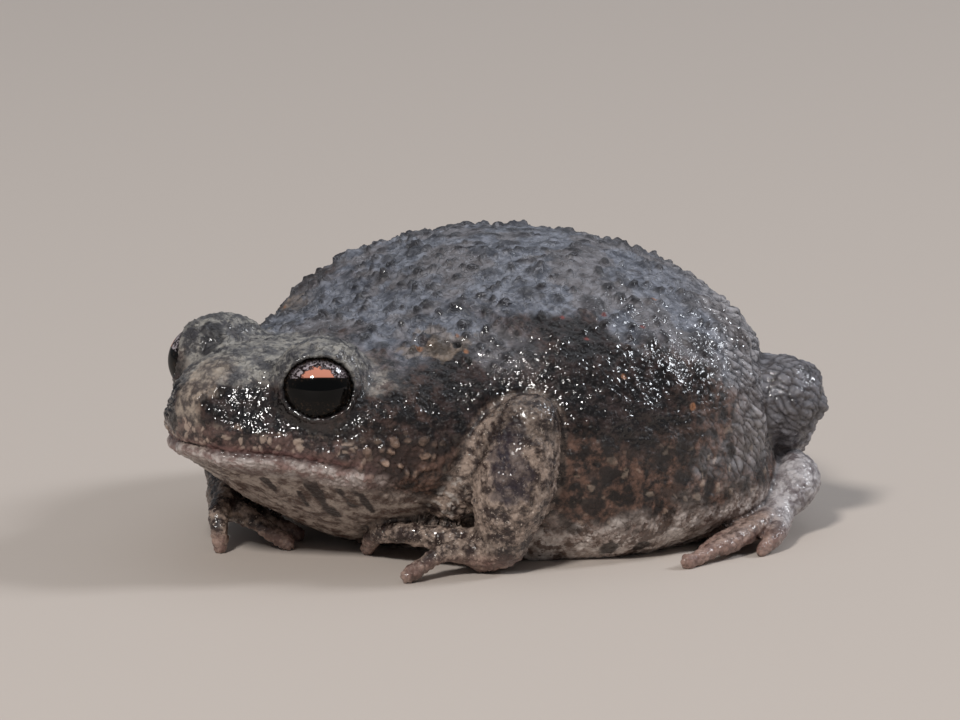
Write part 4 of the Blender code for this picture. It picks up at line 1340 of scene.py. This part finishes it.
def eyeball(name, side):
    """A ball whose pole looks out of the lids, with its own directions written on its points."""
    shape = bmesh.new()
    bmesh.ops.create_uvsphere(shape, u_segments=128, v_segments=80, radius=EYE_RADIUS)
    mesh = bpy.data.meshes.new(name)
    shape.to_mesh(mesh)
    shape.free()
    made = bpy.data.objects.new(name, mesh)
    bpy.context.scene.collection.objects.link(made)
    look = eye_look(side)
    across = Vector((0, 0, 1)).cross(look).normalized() * -1
    up = look.cross(across) * -1
    own = numbers(mesh)
    layer = mesh.attributes.new("eye_place", "FLOAT_VECTOR", "POINT")
    layer.data.foreach_set("vector", (own / EYE_RADIUS).astype(np.float32).ravel())
    turned = np.outer(own[:, 0], across) + np.outer(own[:, 1], up) + np.outer(own[:, 2], look)
    bulge = 1 + 0.02 * step_up(own[:, 2] / EYE_RADIUS, 0.7, 1.0)
    seat = eye_centre(side) + look * EYE_FORWARD
    placed = (turned * bulge[:, None] + np.array(seat)) * MM + np.array(FRAME_SHIFT)
    mesh.vertices.foreach_set("co", placed.ravel())
    mesh.update()
    if across.cross(up).dot(look) < 0:
        mesh.flip_normals()
    mesh.shade_smooth()
    return made


eyes = {"left": eyeball("left_eyeball", LEFT), "right": eyeball("right_eyeball", RIGHT)}
print("two eyeballs of", 2 * EYE_RADIUS, "mm")

# %% The eye's finish
gem = Finish("wet_eye")
spot = gem.nodes.new("ShaderNodeAttribute")
spot.attribute_name = "eye_place"
apart = gem.nodes.new("ShaderNodeSeparateXYZ")
gem.links.new(spot.outputs["Vector"], apart.inputs[0])
eye_x, eye_y = apart.outputs["X"], apart.outputs["Y"]


def ellipse(middle_x, middle_y, half_width, half_height):
    """How far a point is from the middle of an ellipse, 1 at its edge."""
    wide = gem.sum_of("MULTIPLY", gem.sum_of("SUBTRACT", eye_x, middle_x), 1 / half_width)
    tall = gem.sum_of("MULTIPLY", gem.sum_of("SUBTRACT", eye_y, middle_y), 1 / half_height)
    return gem.sum_of("SQRT", gem.sum_of("ADD", gem.sum_of("MULTIPLY", wide, wide),
                                         gem.sum_of("MULTIPLY", tall, tall)), 0.0)


worms = gem.noise(0.14, 3.0, 0.6)
wobble = gem.ramp(worms, 0.3, 0.7, -0.2, 0.2)
veins = gem.ramp(gem.noise(0.12, 4.0, 0.7), 0.54, 0.66, 0.0, 0.5)
iris = gem.over(veins, linear(11, 8, 7), linear(60, 44, 30))
lilac = gem.over(gem.ramp(worms, 0.44, 0.54), linear(34, 27, 28), linear(156, 146, 150))
flanks = gem.ramp(gem.sum_of("ADD", ellipse(0.0, 0.16, 0.78, 0.50), wobble), 0.88, 1.0, 1.0, 0.0)
iris = gem.over(flanks, iris, lilac)
border = gem.ramp(gem.sum_of("ADD", ellipse(0.02, 0.20, 0.48, 0.36), wobble), 0.9, 1.0, 1.0, 0.0)
iris = gem.over(gem.sum_of("MULTIPLY", border, 0.8), iris, linear(26, 20, 20))
copper = gem.ramp(gem.sum_of("ADD", ellipse(0.02, 0.20, 0.40, 0.28), wobble), 0.86, 0.96, 1.0, 0.0)
iris = gem.over(copper, iris, linear(190, 127, 107))
dark_half = gem.over(veins, linear(9, 7, 6), linear(72, 56, 42))
iris = gem.over(gem.ramp(eye_y, 0.19, 0.22, 1.0, 0.0), iris, dark_half)
pupil = gem.ramp(ellipse(0.0, -0.12, 0.82, 0.34), 0.75, 1.05, 1.0, 0.0)
iris = gem.over(pupil, iris, linear(3, 3, 3))
gem.links.new(iris, gem.surface.inputs["Base Color"])
settings = {"Roughness": 0.5, "Specular IOR Level": 0.0, "Coat Weight": 0.42, "Coat Roughness": 0.06}
for name, value in settings.items():
    gem.surface.inputs[name].default_value = value
for eye in eyes.values():
    eye.data.materials.append(gem.paint)
print("the eye's finish has", len(gem.nodes), "nodes")

# %% [markdown]
# ## Into the frame
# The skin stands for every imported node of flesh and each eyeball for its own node. Each limb could ride on
# a body of its own, but nothing moves here, so all ride on the one body. Last, the box of what shows is set
# beside the box of the solids.

# %% Riding, replacing and the sizes
flesh = [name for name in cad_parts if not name.startswith("eye_")]
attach(skin, "root")
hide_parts(*sorted(flesh))
for word, eye in eyes.items():
    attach(eye, "root")
    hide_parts("eye_" + word)
show_low, show_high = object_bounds()
for word, span in (("solids", cad_high - cad_low), ("shown", show_high - show_low)):
    print(word, [round(side / MM, 2) for side in span], "mm")
